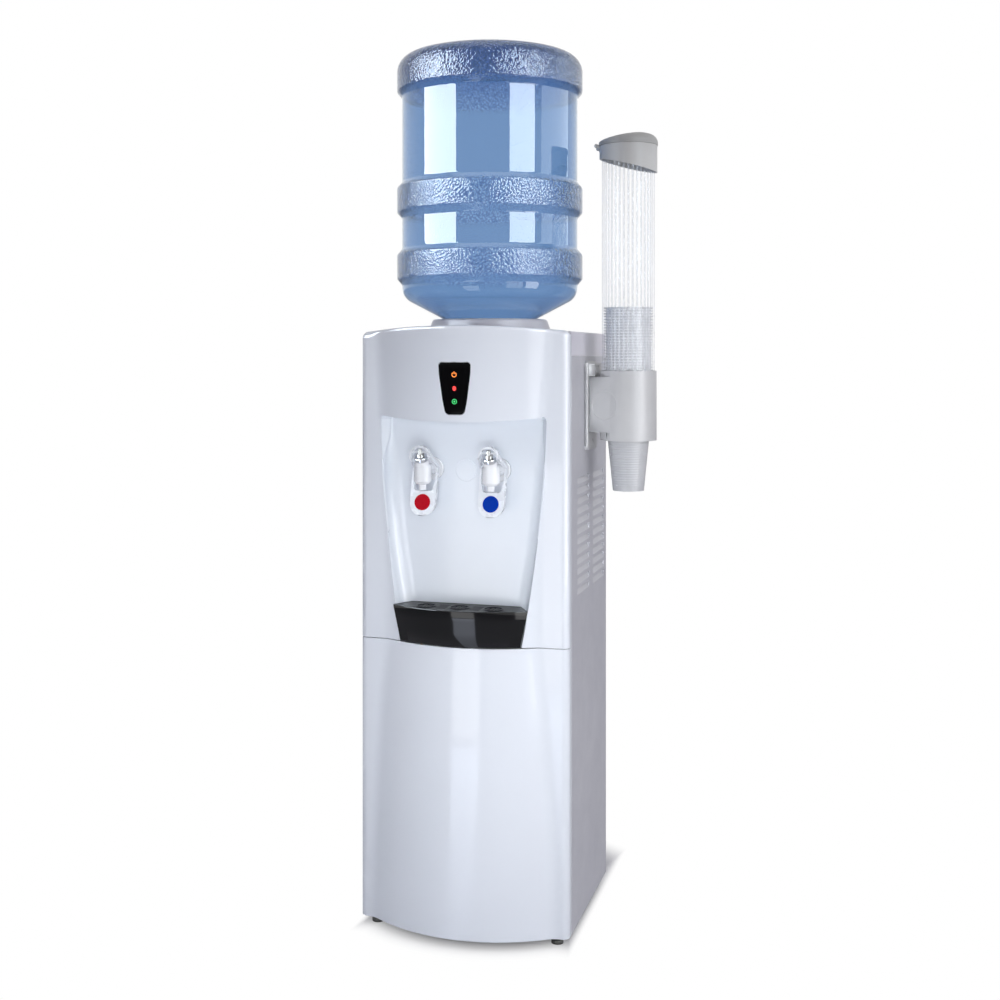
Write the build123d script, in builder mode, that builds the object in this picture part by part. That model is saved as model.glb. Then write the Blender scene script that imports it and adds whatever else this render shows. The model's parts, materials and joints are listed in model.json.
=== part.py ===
"""Floor-standing water cooler: inverted bottle, two push taps, drip tray and a cup dispenser.

Millimetres, +Z up. Places are given in cabinet terms: x from the cabinet's middle plane to its right,
v from the plane of its front corners to the back, z from the floor. The origin is on the floor, under
the middle of the whole object's box.
"""

import os
from math import acos, atan2, cos, hypot, pi, radians, sin, sqrt

from build123d import *

os.makedirs("parts", exist_ok=True)

# Fits
FIT = 0.3
RUNNING_FIT = 0.1

# Cabinet
WIDTH = 305.0
DEPTH = 245.0
FOOT_GAP = 12.0
SEAM_Z = 410.0
SEAM_GAP = 1.0
SKIRT_Z = 812.0
TOP_Z = 846.0
CROWN = 8.0
MOULDED_WALL = 2.5
SHEET = 1.0
FLANGE = 12.0

# Moulded front: flat wings beside a bowed middle that is turned about an upright axis
WING_REACH = 10.5
CORNER_R = 10.0
RETURN = 8.0
BOW_AXIS_V = 180.0
BOW_FOOT_R = 231.5
BOW_SHIN_R = 228.6
BOW_WAIST_R = 219.6
BOW_CHEST_R = 221.4
BOW_TOP_R = 228.6

# Tap niche
NICHE_BACK_V = 9.0
NICHE_WALL = 2.0
NICHE_REF_V = -20.0
NICHE_FLARE = 0.55
NICHE_LOW_HALF = 88.0
NICHE_TRAY_HALF = 99.0
NICHE_TOP_HALF = 127.5
NICHE_TOP_Z = 728.0
NICHE_DIP = 7.0
NICHE_CORNER_R = 9.0
NICHE_FLOOR_Z = SEAM_Z + 2.6
PLUG_R = 15.5
PLUG_Z = 650.0

# Indicator window
LENS_TOP_HALF = 23.2
LENS_MID_HALF = 19.6
LENS_LOW_HALF = 13.5
LENS_TOP_Z = 803.0
LENS_LOW_Z = 731.0
LENS_PROUD = 0.8
LENS_THICK = 2.5

# Drip tray
TRAY_TOP_Z = SEAM_Z + 52.0
TRAY_LOW_Z = SEAM_Z + 1.2
TRAY_TOP_REACH = 52.0
TRAY_LOW_REACH = 44.0
TRAY_CORNER_REACH = 23.0
TRAY_SIDE_GAP = 2.5
TRAY_BACK_GAP = 0.8
TRAY_WALL = 2.4
TRAY_LEDGE = 3.5
GRILLE_THICK = 2.6
DRAIN_PITCH = 49.0
DRAIN_V = -22.0
DRAIN_R = 14.0

# Taps
TAP_X = 49.5
TAP_Z = 652.0
TAP_REACH = 45.0
TAP_R = 12.4
TAP_TILT = 22.0
NOZZLE_R = 5.0
NOZZLE_DROP = 26.0
FLANGE_R = 16.3
TAIL_R = 7.5
TAIL_LENGTH = 14.0
STEM_R = 3.15
BONNET_R = 9.4
LEVER_HALF = 18.5
LEVER_STRIP = 2.6
LEVER_DEPTH = 9.0
ARCH_R = 14.6
ARCH_RISE = 21.5
PADDLE_DROP = 43.5
WINDOW_DROP = 28.0
PIN_R = 1.3
BADGE_R = 11.4
BADGE_THICK = 1.2

# Bottle and its seat
BOTTLE_V = DEPTH / 2 + 3.5
BOTTLE_R = 138.5
BOTTLE_BODY_R = 131.0
BOTTLE_TOP_Z = 1258.0
BOTTLE_WALL = 2.0
DOME_R = 24.0
NECK_R = 27.5
NECK_END_Z = 792.0
SEAT_R = 68.6
COLLAR_TOP_Z = 866.0
COLLAR_R = 92.0
COLLAR_TOP_R = 84.0
SHOULDER_SLOPE = 1.9
CAP_R = 31.0
GUIDE_R = 34.0
GUIDE_FLOOR_Z = 779.0
PROBE_R = 9.0

# Cup dispenser
CUP_STANDOFF = 58.0
CUP_V = DEPTH / 2 + 0.5
TUBE_R = 37.6
TUBE_WALL = 1.3
TUBE_LOW_Z = 717.0
TUBE_TOP_Z = 1113.0
RIB_COUNT = 36
RIB_R = 0.7
HOLDER_LOW_Z = 690.0
HOLDER_TOP_Z = 790.5
HOLDER_WALL = 2.2
HOLDER_R = TUBE_R + RIB_R + FIT + HOLDER_WALL
ARM_HALF = 26.0
PLATE_THICK = 5.0
PLATE_HALF = 32.0
PLATE_LOW_Z = 676.0
PLATE_TOP_Z = 804.0
CUP_RIM_R = 35.5
CUP_LOW_R = 22.5
CUP_LOW_Z = 617.0
CUP_HEIGHT = 97.0
CUP_WALL = 0.8
CUP_PITCH = 4.1
CUP_COUNT = 42
CAP_RING_R = 41.8
CAP_DROP = 28.5
CAP_SLANT = 21.0
LID_R = CAP_RING_R + 1.0
LID_RISE = 16.0
LID_MID_RISE = 11.7
LID_LEAN = 0.165
LID_ROUND = 13.0

# Back of the cabinet
CONDENSER_V = 18.0
CONDENSER_HALF = 112.0
CONDENSER_LOW_Z = 290.0
CONDENSER_PITCH = 42.0
CONDENSER_PASSES = 10
CONDENSER_BEND = CONDENSER_PITCH / 2 - FIT
PIPE_R = 2.5
WIRE_R = 0.8
WIRE_COUNT = 22
REAR_LOW_Z = 230.0

# Works inside
FOAM_BACK_GAP = 20.0
FOAM_WALL = 28.0
FOAM_R = DEPTH - SHEET - FOAM_BACK_GAP - BOTTLE_V
COLD_TANK_R = FOAM_R - FOAM_WALL
COLD_TANK_LOW_Z = 600.0
COLD_TANK_TOP_Z = 760.0
FEED_X = 30.0
SHELF_Z = 582.0
HOT_TANK_R = 50.0
HOT_TANK_X = -60.0
HOT_TANK_LOW_Z = 432.0
HOT_TANK_TOP_Z = 545.0
COMPRESSOR_R = 64.0
COMPRESSOR_X = 10.0
COMPRESSOR_V = DEPTH - 87.0
HOSE_R = 5.0
HOSE_BORE_R = 3.4
STUB_LENGTH = 12.0

# Places worked out from the sizes above
HALF = WIDTH / 2
SIDE_REACH = CUP_STANDOFF + LID_R
CENTRE_X = -SIDE_REACH / 2
BACK_REACH = DEPTH + CONDENSER_V + PIPE_R + 2 * WIRE_R
CORNER_Y = -(BACK_REACH - TRAY_TOP_REACH) / 2
TUBE_X = HALF + CUP_STANDOFF
TAP_V = NICHE_BACK_V - TAP_REACH
PANEL_TOP_Z = SKIRT_Z - FIT
BASE_Z = FOOT_GAP + 1.0
BASE_SHEET = 1.5
BASE_RIM = 14.0


def spot(x, v, z):
    """Point at cabinet place x, v, z in the part's own frame."""
    return (CENTRE_X + x, CORNER_Y + v, z)


def level(z, x=0.0, v=0.0):
    """Flat sketch plane at height z."""
    return Plane(origin=spot(x, v, z))


def facing(v, x=0.0, z=0.0):
    """Upright sketch plane seen from the front, with its normal towards the front."""
    return Plane(origin=spot(x, v, z), x_dir=(1, 0, 0), z_dir=(0, -1, 0))


def sideways(x, v=0.0, z=0.0):
    """Upright sketch plane seen from the right, with its normal towards the right."""
    return Plane(origin=spot(x, v, z), x_dir=(0, 1, 0), z_dir=(1, 0, 0))


def upright(x, v):
    """Upright axis through x, v."""
    return Axis(spot(x, v, 0), (0, 0, 1))


def face(plane, *points):
    """Closed straight-sided face on a plane."""
    with BuildSketch(plane) as outline:
        with BuildLine():
            Polyline(*points, close=True)
        make_face()
    return outline.sketch


def disc(plane, outer, inner=0.0):
    """Round face, or a ring where inner is given."""
    with BuildSketch(plane) as outline:
        Circle(outer)
        if inner:
            Circle(inner, mode=Mode.SUBTRACT)
    return outline.sketch


def slab(plane, low_x, high_x, low_y, high_y, corner=0.0):
    """Rectangular face between two corners on a plane, with rounded corners where asked."""
    with BuildSketch(plane) as outline:
        with Locations(((low_x + high_x) / 2, (low_y + high_y) / 2)):
            if corner:
                RectangleRounded(high_x - low_x, high_y - low_y, corner)
            else:
                Rectangle(high_x - low_x, high_y - low_y)
    return outline.sketch


def circles(piece, radius):
    """Round edges of a piece that have the given radius."""
    return piece.edges().filter_by(GeomType.CIRCLE).filter_by(lambda edge: abs(edge.radius - radius) < 0.001)


def save(piece, name):
    """Label a finished piece and write it."""
    piece.part.label = name
    export_step(piece.part, f"parts/{name}.step")


# Moulded front panels


def front_form(low, high, span, radii, inset, back):
    """Solid behind the front's skin, set in by inset: wings with round corners and the bowed middle."""
    half = HALF - inset
    reach = WING_REACH - inset
    low_r, mid_r, high_r = (radius - inset for radius in radii)
    below, above = span[0] - DEPTH, span[1] + DEPTH
    with BuildPart() as form:
        with BuildSketch(level(low)) as wings:
            with BuildLine():
                Polyline((-half, back), (-half, -reach), (half, -reach), (half, back), close=True)
            make_face()
            fillet(wings.vertices().group_by(Axis.Y)[0], CORNER_R - inset)
        extrude(amount=high - low)
        with BuildSketch(facing(BOW_AXIS_V)):
            with BuildLine():
                Polyline((low_r, span[0]), (low_r, below), (0, below), (0, above), (high_r, above),
                         (high_r, span[1]))
                ThreePointArc((high_r, span[1]), (mid_r, sum(span) / 2), (low_r, span[0]))
            make_face()
        revolve(axis=upright(0, BOW_AXIS_V))
        extrude(slab(level(low), -half, half, back - 2 * DEPTH, back), amount=high - low,
                mode=Mode.INTERSECT)
    return form.part


LOWER_SPAN = (FOOT_GAP, SEAM_Z)
LOWER_RADII = (BOW_FOOT_R, BOW_SHIN_R, BOW_WAIST_R)
UPPER_SPAN = (SEAM_Z, TOP_Z)
UPPER_RADII = (BOW_WAIST_R, BOW_CHEST_R, BOW_TOP_R)
LOWER_TOP_Z = SEAM_Z - SEAM_GAP / 2
UPPER_LOW_Z = SEAM_Z + SEAM_GAP / 2


def upper_form(low, inset, back):
    """Upper part of the front form, with a crowned top edge and round top corners."""
    half = HALF - inset + FIT
    corner_z = TOP_Z - inset
    below = low - FIT
    body = front_form(low, TOP_Z + CROWN + MOULDED_WALL, UPPER_SPAN, UPPER_RADII, inset, back)
    with BuildSketch(facing(2 * DEPTH)) as outline:
        with BuildLine():
            Polyline((-half, corner_z), (-half, below), (half, below), (half, corner_z))
            ThreePointArc((half, corner_z), (0, corner_z + CROWN), (-half, corner_z))
        make_face()
        fillet(outline.vertices().group_by(Axis.Y)[-1], CORNER_R - max(inset, 0))
    with BuildPart() as form:
        add(body)
        extrude(outline.sketch, amount=3 * DEPTH, mode=Mode.INTERSECT)
    return form.part


def niche_outline(v, grow):
    """Niche opening at depth v: bowed sides that flare to the front, and a top edge that dips."""
    spread = NICHE_FLARE * (NICHE_REF_V - v) + grow
    halves = (NICHE_LOW_HALF, NICHE_TRAY_HALF, NICHE_TOP_HALF)
    low_half, tray_half, top_half = (half + spread for half in halves)
    low_z, top_z = SEAM_Z - MOULDED_WALL, NICHE_TOP_Z + grow
    with BuildSketch(facing(v)) as outline:
        with BuildLine():
            Line((-low_half, low_z), (low_half, low_z))
            ThreePointArc((low_half, low_z), (tray_half, TRAY_TOP_Z), (top_half, top_z))
            ThreePointArc((top_half, top_z), (0, top_z - NICHE_DIP), (-top_half, top_z))
            ThreePointArc((-top_half, top_z), (-tray_half, TRAY_TOP_Z), (-low_half, low_z))
        make_face()
        fillet(outline.vertices().group_by(Axis.Y)[-1], NICHE_CORNER_R)
    return outline.sketch


NICHE_FRONT_V = -(TRAY_TOP_REACH + TRAY_WALL)


def niche_form(grow, back_v, floor_z):
    """Solid that fills the niche above floor_z, from in front of the panel to back_v."""
    with BuildPart() as form:
        loft([niche_outline(NICHE_FRONT_V, grow), niche_outline(back_v, grow)], ruled=True)
        extrude(slab(level(floor_z), -WIDTH, WIDTH, -DEPTH, DEPTH), amount=TOP_Z - floor_z,
                mode=Mode.INTERSECT)
    return form.part


def lens_outline(grow):
    """Shield shape of the indicator window."""
    top, low = LENS_TOP_Z + grow, LENS_LOW_Z - grow
    top_half, mid_half, low_half = (half + grow for half in (LENS_TOP_HALF, LENS_MID_HALF, LENS_LOW_HALF))
    with BuildSketch(facing(0)) as outline:
        with BuildLine():
            Line((-low_half, low), (low_half, low))
            ThreePointArc((low_half, low), (mid_half, (top + low) / 2), (top_half, top))
            Line((top_half, top), (-top_half, top))
            ThreePointArc((-top_half, top), (-mid_half, (top + low) / 2), (-low_half, low))
        make_face()
        fillet(outline.vertices().group_by(Axis.Y)[-1], LENS_TOP_HALF / 5)
        fillet(outline.vertices().group_by(Axis.Y)[0], LENS_LOW_HALF / 2)
    return outline.sketch


lower_skin = front_form(FOOT_GAP, LOWER_TOP_Z, LOWER_SPAN, LOWER_RADII, 0, RETURN)
lower_hollow = front_form(0, LOWER_TOP_Z - MOULDED_WALL, LOWER_SPAN, LOWER_RADII, MOULDED_WALL, RETURN + FIT)
with BuildPart() as lower_front_panel:
    add(lower_skin)
    add(lower_hollow, mode=Mode.SUBTRACT)
save(lower_front_panel, "lower_front_panel")

upper_skin = upper_form(UPPER_LOW_Z, 0, RETURN)
upper_hollow = upper_form(SEAM_Z - SEAM_GAP, MOULDED_WALL, RETURN + FIT)
niche_cut = niche_form(0, RETURN + FIT, SEAM_Z - SEAM_GAP)
with BuildPart() as upper_front_panel:
    add(upper_skin)
    add(upper_hollow, mode=Mode.SUBTRACT)
    add(niche_cut, mode=Mode.SUBTRACT)
    extrude(lens_outline(FIT), amount=DEPTH, mode=Mode.SUBTRACT)
save(upper_front_panel, "upper_front_panel")

# The niche is trimmed to the inner face of the panel that it backs
niche_shell = niche_form(NICHE_WALL, NICHE_BACK_V + NICHE_WALL, UPPER_LOW_Z)
niche_room = niche_form(0, NICHE_BACK_V, NICHE_FLOOR_Z)
niche_limit = upper_form(UPPER_LOW_Z, MOULDED_WALL + FIT, DEPTH)
with BuildPart() as tap_niche:
    add(niche_shell)
    add(niche_limit, mode=Mode.INTERSECT)
    add(niche_room, mode=Mode.SUBTRACT)
    for x in (-TAP_X, TAP_X):
        extrude(disc(facing(NICHE_BACK_V, x, TAP_Z), TAIL_R + FIT), amount=-2 * NICHE_WALL,
                mode=Mode.SUBTRACT)
    extrude(disc(facing(NICHE_BACK_V, 0, PLUG_Z), PLUG_R - 2), amount=-2 * NICHE_WALL, mode=Mode.SUBTRACT)
save(tap_niche, "tap_niche")

with BuildPart() as niche_plug:
    extrude(disc(facing(NICHE_BACK_V, 0, PLUG_Z), PLUG_R), amount=1.2)
    fillet(niche_plug.edges().group_by(Axis.Y)[0], 0.8)
    extrude(disc(facing(NICHE_BACK_V, 0, PLUG_Z), PLUG_R - 2 - FIT), amount=-NICHE_WALL - 3)
save(niche_plug, "niche_plug")

lens_front = front_form(LENS_LOW_Z - 5, LENS_TOP_Z + 5, UPPER_SPAN, UPPER_RADII, -LENS_PROUD, RETURN)
lens_back = front_form(LENS_LOW_Z - 5, LENS_TOP_Z + 5, UPPER_SPAN, UPPER_RADII, LENS_THICK - LENS_PROUD,
                       RETURN)
with BuildPart() as indicator_lens:
    add(lens_front)
    add(lens_back, mode=Mode.SUBTRACT)
    extrude(lens_outline(0), amount=DEPTH, mode=Mode.INTERSECT)
save(indicator_lens, "indicator_lens")

# The board stands on posts that reach the back of the window
POST_LENGTH = 6.0
BOARD_V = BOW_AXIS_V - BOW_CHEST_R + LENS_THICK + POST_LENGTH
LIGHT_PITCH = 18.3
LIGHT_TOP_Z = LENS_TOP_Z - 19.0
board_limit = front_form(LENS_LOW_Z, LENS_TOP_Z, UPPER_SPAN, UPPER_RADII,
                         LENS_THICK - LENS_PROUD + RUNNING_FIT, DEPTH)
with BuildPart() as indicator_board:
    extrude(slab(facing(BOARD_V), -LENS_LOW_HALF, LENS_LOW_HALF, LENS_LOW_Z + 4, LENS_TOP_Z - 4),
            amount=-1.6)
    for row in range(3):
        extrude(disc(facing(BOARD_V, 0, LIGHT_TOP_Z - row * LIGHT_PITCH), 2.5), amount=4.0)
    for z in (LENS_LOW_Z + 8, LENS_TOP_Z - 8):
        extrude(disc(facing(BOARD_V, 0, z), 2.0), amount=4 * POST_LENGTH)
    add(board_limit, mode=Mode.INTERSECT)
save(indicator_board, "indicator_board")

# Base, feet and sheet panels

BASE_FRONT = WING_REACH - MOULDED_WALL - FIT
BASE_HALF = HALF - MOULDED_WALL - FIT
BASE_BACK = DEPTH - 2 * SHEET - 2 * FIT
FOOT_X = HALF - 20.0
FRONT_FOOT_V = 8.0
REAR_FOOT_V = DEPTH - 28.0
FOOT_R = 8.5
REAR_FOOT_R = 13.0
STUD_R = 4.0
GROMMET_R = 10.0
MOUNT_X = 78.0
MOUNT_V = 44.0
VENT_PITCH = 16.0
VENT_LENGTH = 60.0
VENT_WIDTH = 6.0
VENT_COUNT = 9
with BuildPart() as base_plate:
    extrude(slab(level(BASE_Z), -BASE_HALF, BASE_HALF, -BASE_FRONT, BASE_BACK, CORNER_R), amount=BASE_RIM)
    inner = BASE_HALF - BASE_SHEET
    hollow = slab(level(BASE_Z + BASE_SHEET), -inner, inner, BASE_SHEET - BASE_FRONT, BASE_BACK - BASE_SHEET,
                  CORNER_R - BASE_SHEET)
    extrude(hollow, amount=BASE_RIM, mode=Mode.SUBTRACT)
    for x in (-FOOT_X, FOOT_X):
        extrude(disc(level(BASE_Z, x, FRONT_FOOT_V), 2 * STUD_R), amount=BASE_SHEET + 7)
        extrude(disc(level(BASE_Z, x, FRONT_FOOT_V), STUD_R + RUNNING_FIT), amount=BASE_RIM,
                mode=Mode.SUBTRACT)
        extrude(disc(level(BASE_Z, x, REAR_FOOT_V), STUD_R + FIT), amount=BASE_RIM, mode=Mode.SUBTRACT)
    with BuildSketch(level(BASE_Z)):
        with Locations((COMPRESSOR_X, COMPRESSOR_V)):
            with GridLocations(2 * MOUNT_X, 2 * MOUNT_V, 2, 2):
                Circle(3.2)
        with Locations((0, COMPRESSOR_V)):
            with GridLocations(VENT_PITCH, 0, VENT_COUNT, 1):
                SlotOverall(VENT_LENGTH, VENT_WIDTH, rotation=90)
    extrude(amount=BASE_RIM, mode=Mode.SUBTRACT)
save(base_plate, "base_plate")

for name, x in (("front_left_foot", -FOOT_X), ("front_right_foot", FOOT_X)):
    with BuildPart() as front_foot:
        profile = face(facing(FRONT_FOOT_V, x), (0, 0), (FOOT_R, 0), (FOOT_R, 4), (FOOT_R - 3, 7),
                       (STUD_R, 7),
                       (STUD_R, BASE_Z + BASE_SHEET + 14), (0, BASE_Z + BASE_SHEET + 14))
        revolve(profile, axis=upright(x, FRONT_FOOT_V))
        with BuildSketch(level(7, x, FRONT_FOOT_V)):
            RegularPolygon(7.5, 6)
        extrude(amount=BASE_Z - FIT - 7)
    save(front_foot, name)

with BuildPart() as rear_feet:
    for x in (-FOOT_X, FOOT_X):
        profile = face(facing(REAR_FOOT_V, x), (0, 0), (REAR_FOOT_R, 0), (REAR_FOOT_R + 2, BASE_Z),
                       (STUD_R, BASE_Z),
                       (STUD_R, BASE_Z + BASE_SHEET + 4), (0, BASE_Z + BASE_SHEET + 4))
        revolve(profile, axis=upright(x, REAR_FOOT_V))
save(rear_feet, "rear_feet")

PANEL_FRONT_V = RETURN + FIT
FLANGE_LOW_Z = BASE_Z + BASE_RIM + FIT
LOUVRE_ROWS = 12
LOUVRE_PITCH = 14.2
LOUVRE_TOP_Z = 640.0
LOUVRE_HEIGHT = 9.0
LOUVRE_DEPTH = 4.0
LOUVRE_LENGTH = 80.0
LOUVRE_GAP = 24.0
LOUVRE_BACK_GAP = 17.0
LOUVRE_REAR_V = DEPTH - LOUVRE_BACK_GAP - LOUVRE_LENGTH
LOUVRE_STARTS = (LOUVRE_REAR_V - LOUVRE_GAP - LOUVRE_LENGTH, LOUVRE_REAR_V)
SCREW_R = 1.8
SCREW_X = HALF - FLANGE / 2
REAR_SCREW_Z = [REAR_LOW_Z + 20 + row * (PANEL_TOP_Z - REAR_LOW_Z - 40) / 3 for row in range(4)]
PLATE_SCREW_Z = (PLATE_LOW_Z + 12, PLATE_TOP_Z - 10)

for name, side in (("left_side_panel", -1), ("right_side_panel", 1)):
    outer, inner = side * HALF, side * (HALF - SHEET)
    edge = side * (HALF - FLANGE)
    with BuildPart() as side_panel:
        sheet_x = sorted((outer, inner))
        flange_x = sorted((outer, edge))
        extrude(slab(level(FOOT_GAP), *sheet_x, PANEL_FRONT_V, DEPTH), amount=PANEL_TOP_Z - FOOT_GAP)
        for v in (PANEL_FRONT_V, DEPTH - SHEET):
            extrude(slab(level(FLANGE_LOW_Z), *flange_x, v, v + SHEET), amount=PANEL_TOP_Z - FLANGE_LOW_Z)
        for start in LOUVRE_STARTS:
            for row in range(LOUVRE_ROWS):
                top = LOUVRE_TOP_Z - row * LOUVRE_PITCH
                hood = face(facing(start), (inner, top), (inner - side * LOUVRE_DEPTH, top),
                            (inner, top - LOUVRE_HEIGHT - SHEET))
                extrude(hood, amount=-LOUVRE_LENGTH)
        for start in LOUVRE_STARTS:
            for row in range(LOUVRE_ROWS):
                top = LOUVRE_TOP_Z - row * LOUVRE_PITCH
                scoop = face(facing(start + SHEET), (outer, top), (outer - side * LOUVRE_DEPTH, top),
                             (outer, top - LOUVRE_HEIGHT))
                extrude(scoop, amount=2 * SHEET - LOUVRE_LENGTH, mode=Mode.SUBTRACT)
        for z in REAR_SCREW_Z:
            extrude(disc(facing(DEPTH, side * SCREW_X, z), SCREW_R + RUNNING_FIT), amount=-2 * SHEET,
                    both=True,
                    mode=Mode.SUBTRACT)
        if side > 0:
            for z in PLATE_SCREW_Z:
                extrude(disc(sideways(HALF, CUP_V, z), SCREW_R + RUNNING_FIT), amount=-2 * SHEET,
                        mode=Mode.SUBTRACT)
    save(side_panel, name)

REAR_V = DEPTH - SHEET
REAR_HALF = HALF - SHEET - FIT
SWITCH_X = 84.0
SWITCH_Z = 765.0
SWITCH_HALF_X = 22.0
SWITCH_HALF_Z = 13.0
INLET_X = -112.0
INLET_Z = 252.0
INLET_R = 6.0
DRAIN_X = -80.0
DRAIN_Z = 262.0
LUG_HALF = 2.3
LUG_X = CONDENSER_HALF - CONDENSER_BEND - LUG_HALF
LUG_ROWS = (1, CONDENSER_PASSES - 2)
with BuildPart() as rear_panel:
    extrude(slab(facing(REAR_V), -REAR_HALF, REAR_HALF, REAR_LOW_Z, PANEL_TOP_Z), amount=SHEET)
    for x in (-LUG_X, LUG_X):
        for row in LUG_ROWS:
            z = CONDENSER_LOW_Z + row * CONDENSER_PITCH
            lug = slab(facing(REAR_V), x - LUG_HALF, x + LUG_HALF, z - 4, z + 4)
            extrude(lug, amount=-(SHEET + CONDENSER_V - PIPE_R - FIT))
    extrude(slab(facing(REAR_V, SWITCH_X, SWITCH_Z), -SWITCH_HALF_X, SWITCH_HALF_X, -SWITCH_HALF_Z,
                 SWITCH_HALF_Z),
            amount=2 * SHEET, mode=Mode.SUBTRACT)
    extrude(disc(facing(REAR_V, INLET_X, INLET_Z), INLET_R + FIT), amount=2 * SHEET, mode=Mode.SUBTRACT)
    extrude(disc(facing(REAR_V, DRAIN_X, DRAIN_Z), HOSE_R + FIT), amount=2 * SHEET, mode=Mode.SUBTRACT)
    for x in (-SCREW_X, SCREW_X):
        for z in REAR_SCREW_Z:
            extrude(disc(facing(REAR_V, x, z), SCREW_R + RUNNING_FIT), amount=2 * SHEET, mode=Mode.SUBTRACT)
save(rear_panel, "rear_panel")

with BuildPart() as panel_screws:
    for x in (-SCREW_X, SCREW_X):
        for z in REAR_SCREW_Z:
            extrude(disc(facing(DEPTH, x, z), 2 * SCREW_R), amount=-2.0)
            extrude(disc(facing(DEPTH, x, z), SCREW_R), amount=6.0)
save(panel_screws, "panel_screws")

COVER_CORNER_R = 6.0
COLLAR_HOLE_R = COLLAR_R - 16.0
with BuildPart() as top_cover:
    with BuildSketch(level(SKIRT_Z)) as cover:
        add(slab(Plane.XY, -HALF, HALF, PANEL_FRONT_V, DEPTH))
        fillet(cover.vertices().group_by(Axis.Y)[-1], COVER_CORNER_R)
    extrude(amount=TOP_Z - SKIRT_Z)
    fillet(top_cover.faces().sort_by(Axis.Z)[-1].edges().sort_by(Axis.Y)[1:], 2.0)
    extrude(slab(level(SKIRT_Z), -HALF + MOULDED_WALL, HALF - MOULDED_WALL, PANEL_FRONT_V + MOULDED_WALL,
                 DEPTH - MOULDED_WALL), amount=TOP_Z - SKIRT_Z - MOULDED_WALL, mode=Mode.SUBTRACT)
    extrude(disc(level(TOP_Z, 0, BOTTLE_V), COLLAR_HOLE_R), amount=-2 * MOULDED_WALL, mode=Mode.SUBTRACT)
save(top_cover, "top_cover")

# Bottle, its cap and its seat


def shoulder_z(radius):
    """Height of the bottle's sloping shoulder, which rests on the collar's inner edge."""
    return COLLAR_TOP_Z + FIT + (radius - SEAT_R) / SHOULDER_SLOPE


SHOULDER_R = 104.0
SHOULDER_RISE = 32.0
SHOULDER_MID_R = 124.0
SHOULDER_MID_RISE = 13.5
THROAT_R = NECK_R + 8.0
BAND_LOW_Z = 926.0
BAND_HEIGHT = 36.0
BAND_STEP = 9.0
MID_BAND_Z = 1025.0
TOP_BAND_Z = 1205.0
BAND_ROUND = 4.0
PUSH_UP = 14.0
PUSH_UP_R = 88.0


def bottle_face(inset):
    """Half section of the bottle, set in by inset: pushed-up end, three bands, sloping shoulder and neck."""
    body_r, band_r, neck_r = (radius - inset for radius in (BOTTLE_BODY_R, BOTTLE_R, NECK_R))
    top = BOTTLE_TOP_Z - inset
    flat_r = BOTTLE_R - DOME_R
    round_r = DOME_R - inset
    turn_z = BOTTLE_TOP_Z - DOME_R
    bend = round_r * sin(pi / 4)
    foot_z = shoulder_z(SHOULDER_R) + inset
    body_low_z = foot_z + SHOULDER_RISE
    throat_z = shoulder_z(THROAT_R) + inset
    end_z = NECK_END_Z - inset
    with BuildSketch(facing(BOTTLE_V)) as half:
        with BuildLine():
            ThreePointArc((0, top - PUSH_UP), (PUSH_UP_R / 2, top - 0.7 * PUSH_UP), (PUSH_UP_R, top))
            Line((PUSH_UP_R, top), (flat_r, top))
            ThreePointArc((flat_r, top), (flat_r + bend, turn_z + bend), (band_r, turn_z))
            Polyline((band_r, turn_z), (band_r, TOP_BAND_Z), (body_r, TOP_BAND_Z - BAND_STEP),
                     (body_r, MID_BAND_Z + BAND_HEIGHT + BAND_STEP), (band_r, MID_BAND_Z + BAND_HEIGHT),
                     (band_r, MID_BAND_Z), (body_r, MID_BAND_Z - BAND_STEP),
                     (body_r, BAND_LOW_Z + BAND_HEIGHT + BAND_STEP), (band_r, BAND_LOW_Z + BAND_HEIGHT),
                     (band_r, BAND_LOW_Z), (body_r, body_low_z))
            ThreePointArc((body_r, body_low_z), (SHOULDER_MID_R - inset, foot_z + SHOULDER_MID_RISE),
                          (SHOULDER_R, foot_z))
            Polyline((SHOULDER_R, foot_z), (THROAT_R, throat_z), (neck_r, throat_z - 8), (neck_r, end_z),
                     (0, end_z),
                     (0, top - PUSH_UP))
        make_face()
        steps = half.vertices().filter_by(lambda p: p.X > BOTTLE_BODY_R - inset - 1)
        steps = steps.filter_by(lambda p: body_low_z + 1 < p.Y < turn_z - 1)
        fillet(steps, BAND_ROUND)
    return half.sketch


with BuildPart() as bottle:
    revolve(bottle_face(0), axis=upright(0, BOTTLE_V))
    revolve(bottle_face(BOTTLE_WALL), axis=upright(0, BOTTLE_V), mode=Mode.SUBTRACT)
save(bottle, "bottle")

CAP_FLOOR_Z = NECK_END_Z - FIT
CAP_BORE_R = PROBE_R + 1.5
with BuildPart() as bottle_cap:
    inner_r = NECK_R + FIT
    profile = face(facing(BOTTLE_V), (CAP_BORE_R, CAP_FLOOR_Z - 2), (CAP_R - 1, CAP_FLOOR_Z - 2),
                   (CAP_R, CAP_FLOOR_Z),
                   (CAP_R, CAP_FLOOR_Z + 24), (inner_r, CAP_FLOOR_Z + 24), (inner_r, CAP_FLOOR_Z),
                   (CAP_BORE_R, CAP_FLOOR_Z))
    revolve(profile, axis=upright(0, BOTTLE_V))
save(bottle_cap, "bottle_cap")

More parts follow.
